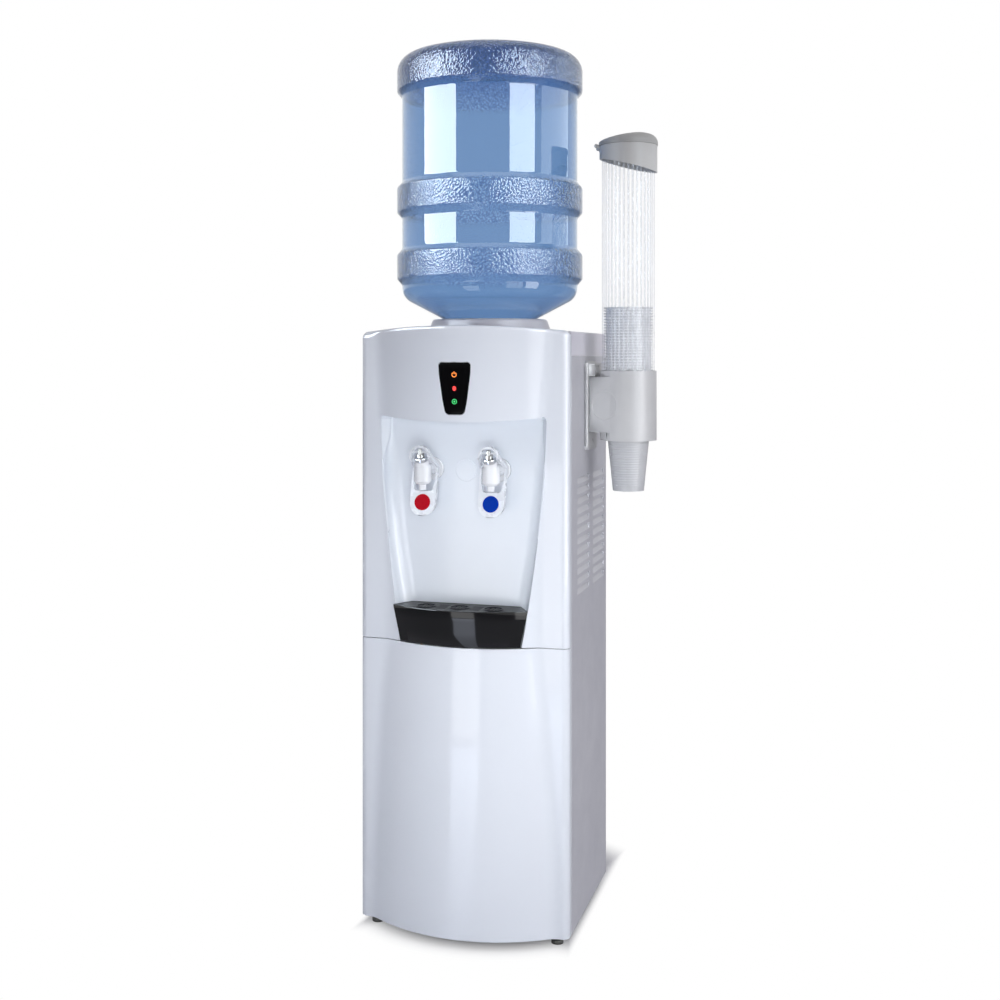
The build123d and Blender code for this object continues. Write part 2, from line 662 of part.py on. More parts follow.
GUIDE_WALL = 3.0
SPIGOT_R = 7.0
THROAT_TOP_R = 46.0
THROAT_TOP_Z = COLLAR_TOP_Z - (SEAT_R - THROAT_TOP_R) / SHOULDER_SLOPE
with BuildPart() as bottle_collar:
    outer_r = GUIDE_R + GUIDE_WALL
    profile = face(facing(BOTTLE_V), (COLLAR_R, TOP_Z), (COLLAR_R - 1, TOP_Z + 4),
                   (COLLAR_TOP_R + 2, COLLAR_TOP_Z - 2),
                   (COLLAR_TOP_R, COLLAR_TOP_Z), (SEAT_R, COLLAR_TOP_Z), (THROAT_TOP_R, THROAT_TOP_Z),
                   (GUIDE_R, THROAT_TOP_Z - 15), (GUIDE_R, GUIDE_FLOOR_Z), (SPIGOT_R + FIT, GUIDE_FLOOR_Z),
                   (SPIGOT_R + FIT, GUIDE_FLOOR_Z - GUIDE_WALL), (outer_r, GUIDE_FLOOR_Z - GUIDE_WALL),
                   (outer_r, THROAT_TOP_Z - 16), (THROAT_TOP_R + 2, THROAT_TOP_Z - 4),
                   (SEAT_R - 2, COLLAR_TOP_Z - 6),
                   (COLLAR_HOLE_R - 3, COLLAR_TOP_Z - 6), (COLLAR_HOLE_R - FIT, TOP_Z))
    revolve(profile, axis=upright(0, BOTTLE_V))
save(bottle_collar, "bottle_collar")

PROBE_TOP_Z = 822.0
SPIGOT_LOW_Z = COLD_TANK_TOP_Z - 8.0
with BuildPart() as bottle_probe:
    profile = face(facing(BOTTLE_V), (0, GUIDE_FLOOR_Z), (GUIDE_R - 8, GUIDE_FLOOR_Z),
                   (GUIDE_R - 8, GUIDE_FLOOR_Z + 2.5),
                   (PROBE_R, GUIDE_FLOOR_Z + 6), (PROBE_R, PROBE_TOP_Z - 8), (PROBE_R / 2, PROBE_TOP_Z),
                   (0, PROBE_TOP_Z))
    revolve(profile, axis=upright(0, BOTTLE_V))
    extrude(disc(level(SPIGOT_LOW_Z, 0, BOTTLE_V), SPIGOT_R), amount=GUIDE_FLOOR_Z - SPIGOT_LOW_Z)
    extrude(disc(level(SPIGOT_LOW_Z, 0, BOTTLE_V), SPIGOT_R - 2), amount=PROBE_TOP_Z - SPIGOT_LOW_Z - 10,
            mode=Mode.SUBTRACT)
    slot_z = PROBE_TOP_Z - 20
    extrude(slab(facing(BOTTLE_V, 0, slot_z), -3, 3, -6, 6, 2), amount=2 * PROBE_R, both=True,
            mode=Mode.SUBTRACT)
save(bottle_probe, "bottle_probe")

# Drip tray and its grille


def tray_outline(z, half, reach, inset):
    """Plan of the tray at height z: bowed front, sides that follow the niche's flare, straight back."""
    corner_v = inset - TRAY_CORNER_REACH
    back_v = NICHE_BACK_V - TRAY_BACK_GAP - inset
    front_half = half - NICHE_FLARE * (corner_v - NICHE_REF_V) - inset
    back_half = half - NICHE_FLARE * (back_v - NICHE_REF_V) - inset
    with BuildSketch(level(z)) as outline:
        with BuildLine():
            ThreePointArc((-front_half, corner_v), (0, inset - reach), (front_half, corner_v))
            Polyline((front_half, corner_v), (back_half, back_v), (-back_half, back_v),
                     (-front_half, corner_v))
        make_face()
    return outline.sketch


TRAY_TOP_HALF = NICHE_TRAY_HALF - TRAY_SIDE_GAP
TRAY_LOW_HALF = NICHE_LOW_HALF - TRAY_SIDE_GAP
TRAY_BASIN_Z = NICHE_FLOOR_Z + FIT + TRAY_WALL
RECESS_Z = TRAY_TOP_Z - GRILLE_THICK
basin_share = (TRAY_BASIN_Z - TRAY_LOW_Z) / (TRAY_TOP_Z - TRAY_LOW_Z)
basin_half = TRAY_LOW_HALF + basin_share * (TRAY_TOP_HALF - TRAY_LOW_HALF)
basin_reach = TRAY_LOW_REACH + basin_share * (TRAY_TOP_REACH - TRAY_LOW_REACH)
basin_inset = TRAY_WALL + TRAY_LEDGE
tray_relief = front_form(TRAY_LOW_Z - 1, NICHE_FLOOR_Z + FIT, UPPER_SPAN, UPPER_RADII, MOULDED_WALL - FIT,
                         DEPTH)
with BuildPart() as drip_tray:
    loft([tray_outline(TRAY_LOW_Z, TRAY_LOW_HALF, TRAY_LOW_REACH, 0),
          tray_outline(TRAY_TOP_Z, TRAY_TOP_HALF, TRAY_TOP_REACH, 0)], ruled=True)
    loft([tray_outline(TRAY_BASIN_Z, basin_half, basin_reach, basin_inset),
          tray_outline(TRAY_TOP_Z, TRAY_TOP_HALF, TRAY_TOP_REACH, basin_inset)], ruled=True,
          mode=Mode.SUBTRACT)
    extrude(tray_outline(RECESS_Z, TRAY_TOP_HALF, TRAY_TOP_REACH, TRAY_WALL), amount=GRILLE_THICK,
            mode=Mode.SUBTRACT)
    add(tray_relief, mode=Mode.SUBTRACT)
save(drip_tray, "drip_tray")

with BuildPart() as drip_grille:
    extrude(tray_outline(RECESS_Z, TRAY_TOP_HALF, TRAY_TOP_REACH, TRAY_WALL + FIT),
            amount=GRILLE_THICK - FIT)
    for column in (-1, 0, 1):
        place = level(RECESS_Z, column * DRAIN_PITCH, DRAIN_V)
        extrude(disc(place, DRAIN_R, DRAIN_R - 1.6), amount=GRILLE_THICK + 0.6)
        with BuildSketch(place):
            with PolarLocations(0.6 * DRAIN_R, 8):
                SlotOverall(0.55 * DRAIN_R, 2.4)
            Circle(1.6)
        extrude(amount=2 * GRILLE_THICK, mode=Mode.SUBTRACT)
    slots = level(RECESS_Z, 0, DRAIN_V)
    with BuildSketch(slots):
        with GridLocations(DRAIN_PITCH, 0, 2, 1):
            with GridLocations(0, 6, 1, 5):
                SlotOverall(15, 2.2)
    extrude(amount=2 * GRILLE_THICK, mode=Mode.SUBTRACT)
save(drip_grille, "drip_grille")

# Taps

STEM_RUN = 33.0
BOSS_RUN = 16.0
BONNET_RUN = 5.5
BOSS_R = TAP_R - 2.2
CAVITY_R = 7.0
PIN_RUN = 29.0
SPRING_R = 5.0
SPRING_WIRE = 1.0
SPRING_PITCH = 2.5
SPRING_TURNS = 4
SPRING_RUN = 3.2
LEAN = (17.5, 68.0)
SHOULDER_REACH = 11.0
SHOULDER_DROP = 4.0


def coil(plane, radius, pitch, turns, wire):
    """Spring wire along a plane's normal, in tilted half circles that meet in line."""
    with BuildLine(plane) as path:
        for half in range(2 * turns):
            start = radius if half % 2 == 0 else -radius
            z = half * pitch / 2
            ThreePointArc((start, 0, z), (0, start, z + pitch / 4), (-start, 0, z + pitch / 2))
    with BuildSketch(Plane(plane.from_local_coords(Vector(radius, 0, 0)), z_dir=plane.y_dir)) as section:
        Circle(wire / 2)
    with BuildPart() as spring:
        sweep(section.sketch, path=path.line)
    return spring.part


def lean_v(z):
    """How far a resting lever's front lies behind the tap's middle, at height z from it."""
    return SHOULDER_REACH + (z - SHOULDER_DROP) * LEAN[0] / LEAN[1]


for name, x in (("hot", -TAP_X), ("cold", TAP_X)):
    tilt = radians(TAP_TILT)
    axis = Plane(origin=spot(x, TAP_V, TAP_Z), x_dir=(1, 0, 0), z_dir=(0, -sin(tilt), cos(tilt)))
    front = facing(TAP_V, x, TAP_Z)
    flank = sideways(x - 2 * LEVER_HALF, TAP_V, TAP_Z)

    with BuildPart() as tap_body:
        profile = face(front, (0, 9), (TAP_R - 2, 9), (TAP_R, 6), (TAP_R, -14), (TAP_R - 3, -17.5),
                       (NOZZLE_R, -19),
                       (NOZZLE_R, -NOZZLE_DROP), (0, -NOZZLE_DROP))
        revolve(profile, axis=upright(x, TAP_V))
        extrude(disc(axis, BOSS_R), amount=BOSS_RUN)
        extrude(disc(front, TAP_R - 4), amount=-TAP_REACH)
        extrude(disc(facing(NICHE_BACK_V, x, TAP_Z), FLANGE_R), amount=4)
        fillet(circles(tap_body, FLANGE_R).sort_by(Axis.Y)[0], 2)
        extrude(disc(facing(NICHE_BACK_V, x, TAP_Z), TAIL_R), amount=-TAIL_LENGTH)
        extrude(disc(axis, CAVITY_R), amount=BOSS_RUN, mode=Mode.SUBTRACT)
        extrude(disc(front, HOSE_BORE_R), amount=-TAP_REACH - TAIL_LENGTH, mode=Mode.SUBTRACT)
        extrude(disc(level(TAP_Z, x, TAP_V), HOSE_BORE_R), amount=-NOZZLE_DROP, mode=Mode.SUBTRACT)
    save(tap_body, f"{name}_tap_body")

    with BuildPart() as tap_bonnet:
        extrude(disc(axis.offset(BOSS_RUN), BONNET_R, STEM_R + RUNNING_FIT), amount=BONNET_RUN)
        chamfer(circles(tap_bonnet, BONNET_R), 0.8)
    save(tap_bonnet, f"{name}_tap_bonnet")

    with BuildPart() as tap_stem:
        extrude(disc(axis.offset(FIT), CAVITY_R - FIT), amount=2.5)
        extrude(disc(axis.offset(FIT), STEM_R), amount=STEM_RUN - FIT)
        pin = Plane(origin=axis.from_local_coords(Vector(0, 0, PIN_RUN)), z_dir=(1, 0, 0))
        extrude(disc(pin, PIN_R), amount=ARCH_R - 1.4, both=True)
    save(tap_stem, f"{name}_tap_stem")

    spring = coil(axis.offset(SPRING_RUN + SPRING_WIRE / 2), SPRING_R, SPRING_PITCH, SPRING_TURNS,
                  SPRING_WIRE)
    with BuildPart() as tap_spring:
        add(spring)
    save(tap_spring, f"{name}_tap_spring")

    with BuildSketch(front) as loop:
        with BuildLine():
            Line((-LEVER_HALF, -PADDLE_DROP), (-LEVER_HALF, 6))
            Line((-LEVER_HALF, 6), (-ARCH_R, ARCH_RISE))
            ThreePointArc((-ARCH_R, ARCH_RISE), (0, ARCH_RISE + ARCH_R), (ARCH_R, ARCH_RISE))
            Line((ARCH_R, ARCH_RISE), (LEVER_HALF, 6))
            Line((LEVER_HALF, 6), (LEVER_HALF, -PADDLE_DROP))
            ThreePointArc((LEVER_HALF, -PADDLE_DROP), (0, -PADDLE_DROP - LEVER_HALF),
                          (-LEVER_HALF, -PADDLE_DROP))
        make_face()
    inner_half = LEVER_HALF - LEVER_STRIP
    inner_arch = ARCH_R - LEVER_STRIP
    with BuildSketch(front) as window:
        with BuildLine():
            Polyline((inner_arch, ARCH_RISE), (inner_half, 6), (inner_half, -WINDOW_DROP / 2),
                     (inner_half - 3, -WINDOW_DROP), (3 - inner_half, -WINDOW_DROP),
                     (-inner_half, -WINDOW_DROP / 2),
                     (-inner_half, 6), (-inner_arch, ARCH_RISE))
            ThreePointArc((-inner_arch, ARCH_RISE), (0, ARCH_RISE + inner_arch), (inner_arch, ARCH_RISE))
        make_face()
        fillet(window.vertices().group_by(Axis.Y)[0], 4)
    with BuildSketch(front) as pocket:
        with BuildLine():
            Line((inner_half, -WINDOW_DROP - 2), (-inner_half, -WINDOW_DROP - 2))
            Line((-inner_half, -WINDOW_DROP - 2), (-inner_half, -PADDLE_DROP))
            ThreePointArc((-inner_half, -PADDLE_DROP), (0, -PADDLE_DROP - inner_half),
                          (inner_half, -PADDLE_DROP))
            Line((inner_half, -PADDLE_DROP), (inner_half, -WINDOW_DROP - 2))
        make_face()
    low = -PADDLE_DROP - LEVER_HALF - 2
    high = ARCH_RISE + ARCH_R + 2
    arch_v = -PIN_RUN * sin(tilt)
    band = face(flank, (arch_v - 5.5, high), (arch_v - 4.5, ARCH_RISE - 1),
                (lean_v(SHOULDER_DROP), SHOULDER_DROP),
                (lean_v(low), low), (lean_v(low) + LEVER_DEPTH, low),
                (lean_v(SHOULDER_DROP) + LEVER_DEPTH, SHOULDER_DROP + 2), (arch_v + 5, ARCH_RISE + 4),
                (arch_v + 4, high))
    web_back = face(flank, (lean_v(low) + 2.4, low), (lean_v(-WINDOW_DROP) + 2.4, -WINDOW_DROP),
                    (lean_v(-WINDOW_DROP) + 40, -WINDOW_DROP), (lean_v(low) + 40, low))
    with BuildPart() as paddle_hollow:
        extrude(pocket.sketch, amount=TAP_REACH, both=True)
        extrude(web_back, amount=4 * LEVER_HALF, mode=Mode.INTERSECT)
    with BuildPart() as tap_lever:
        extrude(loop.sketch, amount=TAP_REACH, both=True)
        extrude(window.sketch, amount=TAP_REACH, both=True, mode=Mode.SUBTRACT)
        extrude(band, amount=4 * LEVER_HALF, mode=Mode.INTERSECT)
        add(paddle_hollow.part, mode=Mode.SUBTRACT)
        extrude(disc(pin, PIN_R + RUNNING_FIT), amount=2 * ARCH_R, both=True, mode=Mode.SUBTRACT)
    save(tap_lever, f"{name}_tap_lever")

    lean_length = sqrt(LEAN[0] ** 2 + LEAN[1] ** 2)
    badge_at = spot(x, TAP_V + lean_v(-PADDLE_DROP), TAP_Z - PADDLE_DROP)
    outward = (0, -LEAN[1] / lean_length, LEAN[0] / lean_length)
    badge_plane = Plane(origin=badge_at, x_dir=(1, 0, 0), z_dir=outward)
    with BuildPart() as tap_badge:
        extrude(disc(badge_plane, BADGE_R), amount=BADGE_THICK)
        fillet(tap_badge.edges().sort_by(Axis.Y)[0], 0.5)
    save(tap_badge, f"{name}_tap_badge")

    with BuildPart() as tap_nut:
        with BuildSketch(facing(NICHE_BACK_V + NICHE_WALL, x, TAP_Z)):
            RegularPolygon(TAIL_R + 5.5, 6)
            Circle(TAIL_R + RUNNING_FIT, mode=Mode.SUBTRACT)
        extrude(amount=-6)
    save(tap_nut, f"{name}_tap_nut")

# Cup dispenser on the right side

HOLDER_LEDGE = 6.0
EXIT_R = CUP_RIM_R + 1.5
arm_low = HOLDER_LOW_Z + 12
arm_top = HOLDER_TOP_Z - 9
with BuildPart() as cup_bracket:
    plate = slab(sideways(HALF), CUP_V - PLATE_HALF, CUP_V + PLATE_HALF, PLATE_LOW_Z, PLATE_TOP_Z, 6)
    extrude(plate, amount=PLATE_THICK)
    fillet(cup_bracket.edges().filter_by(Plane.YZ).group_by(Axis.X)[-1], 1.5)
    hook = slab(sideways(HALF), CUP_V - PLATE_HALF + 8, CUP_V + PLATE_HALF - 8, arm_top + FIT,
                PLATE_TOP_Z - 3, 2)
    extrude(hook, amount=PLATE_THICK + 8)
    for z in PLATE_SCREW_Z:
        extrude(disc(sideways(HALF, CUP_V, z), SCREW_R + RUNNING_FIT), amount=2 * PLATE_THICK,
                mode=Mode.SUBTRACT)
        extrude(disc(sideways(HALF + PLATE_THICK - 2, CUP_V, z), 2 * SCREW_R + FIT), amount=2 * PLATE_THICK,
                mode=Mode.SUBTRACT)
save(cup_bracket, "cup_bracket")

holder_x = HALF + PLATE_THICK + FIT
arm_reach = TUBE_X - holder_x
arm_turn = atan2(ARM_HALF, -arm_reach) - acos(HOLDER_R / hypot(arm_reach, ARM_HALF))
MEDAL_R = 21.0
MEDAL_Z = 741.0
MEDAL_RISE = 0.6


def arm_face(inset):
    """Plan of the holder's arm: it widens from the plate until it meets the round body on both sides."""
    half, root = ARM_HALF - inset, holder_x + inset
    turn_x, turn_v = [(HOLDER_R - 0.8 - inset) * way for way in (cos(arm_turn), sin(arm_turn))]
    return face(level(arm_low), (root, CUP_V - half), (TUBE_X + turn_x, CUP_V - turn_v),
                (TUBE_X + turn_x, CUP_V + turn_v), (root, CUP_V + half))


with BuildPart() as cup_holder:
    extrude(arm_face(0), amount=arm_top - arm_low)
    extrude(arm_face(HOLDER_WALL), amount=arm_top - arm_low - HOLDER_WALL, mode=Mode.SUBTRACT)
    extrude(disc(level(HOLDER_LOW_Z, TUBE_X, CUP_V), HOLDER_R), amount=HOLDER_TOP_Z - HOLDER_LOW_Z)
    extrude(disc(level(HOLDER_LOW_Z, TUBE_X, CUP_V), EXIT_R), amount=HOLDER_TOP_Z - HOLDER_LOW_Z,
            mode=Mode.SUBTRACT)
    extrude(disc(level(HOLDER_LOW_Z + HOLDER_LEDGE, TUBE_X, CUP_V), TUBE_R + RIB_R + FIT),
            amount=HOLDER_TOP_Z - HOLDER_LOW_Z, mode=Mode.SUBTRACT)
    # A plain raised ring on the arm's front
    along, sunk = MEDAL_R + 4, HOLDER_WALL / 2
    medal_x = holder_x + along * sin(arm_turn) - sunk * cos(arm_turn)
    medal_v = CUP_V - ARM_HALF + along * cos(arm_turn) + sunk * sin(arm_turn)
    medal_plane = Plane(origin=spot(medal_x, medal_v, MEDAL_Z), x_dir=(sin(arm_turn), cos(arm_turn), 0),
                        z_dir=(cos(arm_turn), -sin(arm_turn), 0))
    extrude(disc(medal_plane, MEDAL_R, MEDAL_R - 1.4), amount=sunk + MEDAL_RISE)
save(cup_holder, "cup_holder")

RETAINER_LOW_Z = HOLDER_LOW_Z + HOLDER_LEDGE
RETAINER_R = CUP_RIM_R + 1.2
FINGER_REACH = RETAINER_R - CUP_RIM_R - FIT
FINGER_LOW_Z = CUP_LOW_Z + CUP_HEIGHT - 3.0
with BuildPart() as cup_retainer:
    extrude(disc(level(RETAINER_LOW_Z, TUBE_X, CUP_V), TUBE_R + RIB_R, RETAINER_R),
            amount=TUBE_LOW_Z - RETAINER_LOW_Z)
    with BuildSketch(level(FINGER_LOW_Z, TUBE_X, CUP_V)):
        Circle(RETAINER_R + 1)
        Circle(RETAINER_R - FINGER_REACH, mode=Mode.SUBTRACT)
        with PolarLocations(RETAINER_R, 8):
            Rectangle(4 * FINGER_REACH, 14, mode=Mode.SUBTRACT)
    extrude(amount=4)
save(cup_retainer, "cup_retainer")

with BuildPart() as cup_tube:
    with BuildSketch(level(TUBE_LOW_Z, TUBE_X, CUP_V)):
        Circle(TUBE_R)
        with PolarLocations(TUBE_R, RIB_COUNT):
            Circle(RIB_R)
        Circle(TUBE_R - TUBE_WALL, mode=Mode.SUBTRACT)
    extrude(amount=TUBE_TOP_Z - TUBE_LOW_Z)
save(cup_tube, "cup_tube")

RING_TOP_Z = TUBE_TOP_Z + 3.0
KNUCKLE_R = 3.0
KNUCKLE_HALF = 5.0
LID_PIN_R = 1.4
LID_WALL = 2.0
LID_AXIS_X = TUBE_X - CAP_RING_R - KNUCKLE_R + 0.5
LID_AXIS_Z = RING_TOP_Z + 0.2
LID_LOW_Z = RING_TOP_Z + FIT
hinge = facing(CUP_V, LID_AXIS_X, LID_AXIS_Z)
slant_z = RING_TOP_Z - CAP_DROP
cap_low_z = slant_z - CAP_SLANT / 2 - 3
with BuildPart() as cup_cap_ring:
    extrude(disc(level(cap_low_z, TUBE_X, CUP_V), CAP_RING_R, TUBE_R + RIB_R + FIT),
            amount=RING_TOP_Z - cap_low_z)
    span = 1.5 * CAP_RING_R
    drop = span * CAP_SLANT / (2 * CAP_RING_R)
    slope = face(facing(CUP_V), (TUBE_X - span, slant_z + drop), (TUBE_X + span, slant_z - drop),
                 (TUBE_X + span, slant_z - span), (TUBE_X - span, slant_z - span))
    extrude(slope, amount=span, both=True, mode=Mode.SUBTRACT)
    for side in (-1, 1):
        with BuildSketch(facing(CUP_V + side * 2 * (KNUCKLE_HALF + FIT / 2), LID_AXIS_X, LID_AXIS_Z)):
            Circle(KNUCKLE_R)
            with Locations((KNUCKLE_R, -KNUCKLE_R)):
                Rectangle(2 * KNUCKLE_R, 2 * KNUCKLE_R)
        extrude(amount=KNUCKLE_HALF, both=True)
    extrude(disc(level(cap_low_z, TUBE_X, CUP_V), TUBE_R + RIB_R + FIT),
            amount=2 * (RING_TOP_Z - cap_low_z), mode=Mode.SUBTRACT)
    extrude(disc(hinge, KNUCKLE_R + FIT), amount=KNUCKLE_HALF, both=True, mode=Mode.SUBTRACT)
    extrude(disc(hinge, LID_PIN_R), amount=2 * KNUCKLE_HALF, both=True)
    extrude(disc(level(LID_LOW_Z - FIT / 2, TUBE_X, CUP_V), LID_R), amount=20, mode=Mode.SUBTRACT)
save(cup_cap_ring, "cup_cap_ring")


def lid_form(inset):
    """Solid cap with a rounded shoulder under a plane that rises to the right; inset makes it smaller."""
    radius, shoulder, low = LID_R - inset, LID_ROUND - inset, LID_LOW_Z - inset / 2
    top, middle = LID_LOW_Z + LID_RISE - inset, LID_LOW_Z + LID_MID_RISE - inset
    edge, bulge = top - shoulder, shoulder * (1 - sqrt(0.5))
    with BuildPart() as form:
        with BuildSketch(facing(CUP_V, TUBE_X)):
            with BuildLine():
                Polyline((radius - shoulder, top), (0, top), (0, low), (radius, low), (radius, edge))
                ThreePointArc((radius, edge), (radius - bulge, top - bulge), (radius - shoulder, top))
            make_face()
        revolve(axis=upright(TUBE_X, CUP_V))
        span = 1.5 * LID_R
        above = face(facing(CUP_V), (TUBE_X - span, middle - span * LID_LEAN),
                     (TUBE_X + span, middle + span * LID_LEAN), (TUBE_X + span, middle + span),
                     (TUBE_X - span, middle + span))
        extrude(above, amount=span, both=True, mode=Mode.SUBTRACT)
    return form.part


lid_outside, lid_inside = lid_form(0.0), lid_form(LID_WALL)
with BuildPart() as cup_lid:
    add(lid_outside)
    add(lid_inside, mode=Mode.SUBTRACT)
    extrude(disc(hinge, KNUCKLE_R + FIT), amount=4 * KNUCKLE_HALF, both=True, mode=Mode.SUBTRACT)
    with BuildSketch(hinge):
        Circle(KNUCKLE_R)
        with Locations((KNUCKLE_R, KNUCKLE_R / 2 + FIT)):
            Rectangle(2 * KNUCKLE_R, KNUCKLE_R)
    extrude(amount=KNUCKLE_HALF - FIT / 2, both=True)
    extrude(disc(hinge, LID_PIN_R + RUNNING_FIT), amount=KNUCKLE_HALF, both=True, mode=Mode.SUBTRACT)
save(cup_lid, "cup_lid")

CUP_STEP_RISE = 78.0
CUP_STEP_R = 30.3
cup_rim_z = CUP_LOW_Z + CUP_HEIGHT


def cup_wall(inset, lift):
    """Half section of a cup's inside or outside: tapered wall with a stacking step below its rim."""
    low = CUP_LOW_Z + lift
    step = low + CUP_STEP_RISE
    return [(0, low), (CUP_LOW_R - inset, low), (CUP_STEP_R - inset, step),
            (CUP_STEP_R + 2.4 - inset, step + 2.5),
            (CUP_RIM_R - 1.6 - inset, low + CUP_HEIGHT)]


with BuildPart() as lowest_cup:
    rim = [(CUP_RIM_R - 1.6, cup_rim_z - 1.4), (CUP_RIM_R, cup_rim_z - 1.4), (CUP_RIM_R, cup_rim_z)]
    outside = cup_wall(0, 0)[:-1] + rim
    inside = cup_wall(CUP_WALL, CUP_WALL)
    inside[-1] = (inside[-1][0], cup_rim_z)
    revolve(face(facing(CUP_V, TUBE_X), *outside, *reversed(inside)), axis=upright(TUBE_X, CUP_V))
save(lowest_cup, "lowest_cup")

with BuildPart() as cup_stack:
    outside = cup_wall(CUP_WALL + FIT, CUP_PITCH)[:-1]
    neck_r = CUP_RIM_R - 1.6 - CUP_WALL - 2 * FIT
    teeth = []
    for cup in range(1, CUP_COUNT):
        z = cup_rim_z + cup * CUP_PITCH
        teeth += [(neck_r, z - 1.4), (CUP_RIM_R, z - 1.4), (CUP_RIM_R, z), (neck_r, z)]
    top_lift = (CUP_COUNT - 1) * CUP_PITCH + CUP_WALL
    inside = cup_wall(CUP_WALL, top_lift)
    inside[-1] = (neck_r - CUP_WALL, teeth[-1][1])
    revolve(face(facing(CUP_V, TUBE_X), *outside, *teeth, *reversed(inside)), axis=upright(TUBE_X, CUP_V))
save(cup_stack, "cup_stack")

# Water works

with BuildPart() as cold_tank:
    height = COLD_TANK_TOP_Z - COLD_TANK_LOW_Z
    extrude(disc(level(COLD_TANK_LOW_Z, 0, BOTTLE_V), COLD_TANK_R), amount=height)
    for x in (0, FEED_X):
        extrude(disc(level(COLD_TANK_LOW_Z, x, BOTTLE_V), HOSE_R),
                amount=SHELF_Z - STUB_LENGTH - COLD_TANK_LOW_Z)
    extrude(disc(level(COLD_TANK_LOW_Z + SHEET, 0, BOTTLE_V), COLD_TANK_R - SHEET),
            amount=height - 2 * SHEET,
            mode=Mode.SUBTRACT)
    extrude(disc(level(COLD_TANK_TOP_Z, 0, BOTTLE_V), SPIGOT_R + FIT), amount=-2 * SHEET, mode=Mode.SUBTRACT)
    for x in (0, FEED_X):
        extrude(disc(level(COLD_TANK_LOW_Z + SHEET, x, BOTTLE_V), HOSE_BORE_R), amount=-height,
                mode=Mode.SUBTRACT)
save(cold_tank, "cold_tank")

EVAPORATOR_WALL = 2.0
EVAPORATOR_LIFT = 18.0
EVAPORATOR_HEIGHT = 80.0
with BuildPart() as evaporator:
    inner_r = COLD_TANK_R + FIT
    ring = disc(level(COLD_TANK_LOW_Z + EVAPORATOR_LIFT, 0, BOTTLE_V), inner_r + EVAPORATOR_WALL, inner_r)
    extrude(ring, amount=EVAPORATOR_HEIGHT)
save(evaporator, "evaporator")

FOAM_FLOOR_Z = SHELF_Z + 2.0
with BuildPart() as cold_insulation:
    extrude(disc(level(FOAM_FLOOR_Z, 0, BOTTLE_V), FOAM_R), amount=COLD_TANK_TOP_Z - FOAM_FLOOR_Z)
    extrude(disc(level(COLD_TANK_LOW_Z - FIT, 0, BOTTLE_V), COLD_TANK_R + 2 * FIT + EVAPORATOR_WALL),
            amount=COLD_TANK_TOP_Z, mode=Mode.SUBTRACT)
    for x in (0, FEED_X):
        extrude(disc(level(FOAM_FLOOR_Z, x, BOTTLE_V), HOSE_R + FIT), amount=FOAM_WALL, mode=Mode.SUBTRACT)
save(cold_insulation, "cold_insulation")

SHELF_FRONT_V = 50.0
SUCTION_X = -120.0
SUCTION_V = COMPRESSOR_V + 2.0
SHELF_HALF = HALF - SHEET - LOUVRE_DEPTH - 2 * FIT
SHELF_BACK_V = REAR_V - SHEET - FIT
SHELF_TABS = ((LOUVRE_STARTS[0] + LOUVRE_LENGTH + 2, LOUVRE_STARTS[1] - 2),
              (LOUVRE_STARTS[1] + LOUVRE_LENGTH + 2, SHELF_BACK_V))
with BuildPart() as tank_shelf:
    extrude(slab(level(SHELF_Z), -SHELF_HALF, SHELF_HALF, SHELF_FRONT_V, SHELF_BACK_V), amount=2.0)
    for side in (-1, 1):
        for start, end in SHELF_TABS:
            tab_x = sorted((side * REAR_HALF, side * (SHELF_HALF - 2)))
            wall_x = sorted((side * REAR_HALF, side * (REAR_HALF - 2)))
            extrude(slab(level(SHELF_Z), *tab_x, start, end), amount=2.0)
            extrude(slab(level(SHELF_Z), *wall_x, start, end), amount=-FLANGE)
    for x in (0, FEED_X):
        extrude(disc(level(SHELF_Z, x, BOTTLE_V), HOSE_R + 2), amount=2.0, mode=Mode.SUBTRACT)
    extrude(disc(level(SHELF_Z, SUCTION_X, SUCTION_V), 2 * PIPE_R), amount=2.0, mode=Mode.SUBTRACT)
save(tank_shelf, "tank_shelf")

with BuildPart() as hot_tank:
    low, top, edge = HOT_TANK_LOW_Z, HOT_TANK_TOP_Z, 8
    profile = face(facing(BOTTLE_V, HOT_TANK_X), (0, low), (HOT_TANK_R - edge, low),
                   (HOT_TANK_R, low + edge),
                   (HOT_TANK_R, top - edge), (HOT_TANK_R - edge, top), (0, top))
    revolve(profile, axis=upright(HOT_TANK_X, BOTTLE_V))
    with BuildSketch(level(top - 1, HOT_TANK_X, BOTTLE_V)):
        with PolarLocations(0.7 * HOT_TANK_R, 3):
            Circle(4)
    extrude(amount=SHELF_Z - top + 1)
    extrude(disc(level(top - 1, HOT_TANK_X, BOTTLE_V), HOSE_R), amount=1 + STUB_LENGTH)
    for x in (HOT_TANK_X, DRAIN_X):
        extrude(disc(level(low + 1, x, BOTTLE_V), HOSE_R), amount=-1 - STUB_LENGTH)
    room = face(facing(BOTTLE_V, HOT_TANK_X), (0, low + SHEET), (HOT_TANK_R - edge, low + SHEET),
                (HOT_TANK_R - SHEET, low + edge), (HOT_TANK_R - SHEET, top - edge),
                (HOT_TANK_R - edge, top - SHEET),
                (0, top - SHEET))
    revolve(room, axis=upright(HOT_TANK_X, BOTTLE_V), mode=Mode.SUBTRACT)
    extrude(disc(level(top - 2, HOT_TANK_X, BOTTLE_V), HOSE_BORE_R), amount=2 * STUB_LENGTH,
            mode=Mode.SUBTRACT)
    for x in (HOT_TANK_X, DRAIN_X):
        extrude(disc(level(low + 2, x, BOTTLE_V), HOSE_BORE_R), amount=-2 * STUB_LENGTH, mode=Mode.SUBTRACT)
save(hot_tank, "hot_tank")

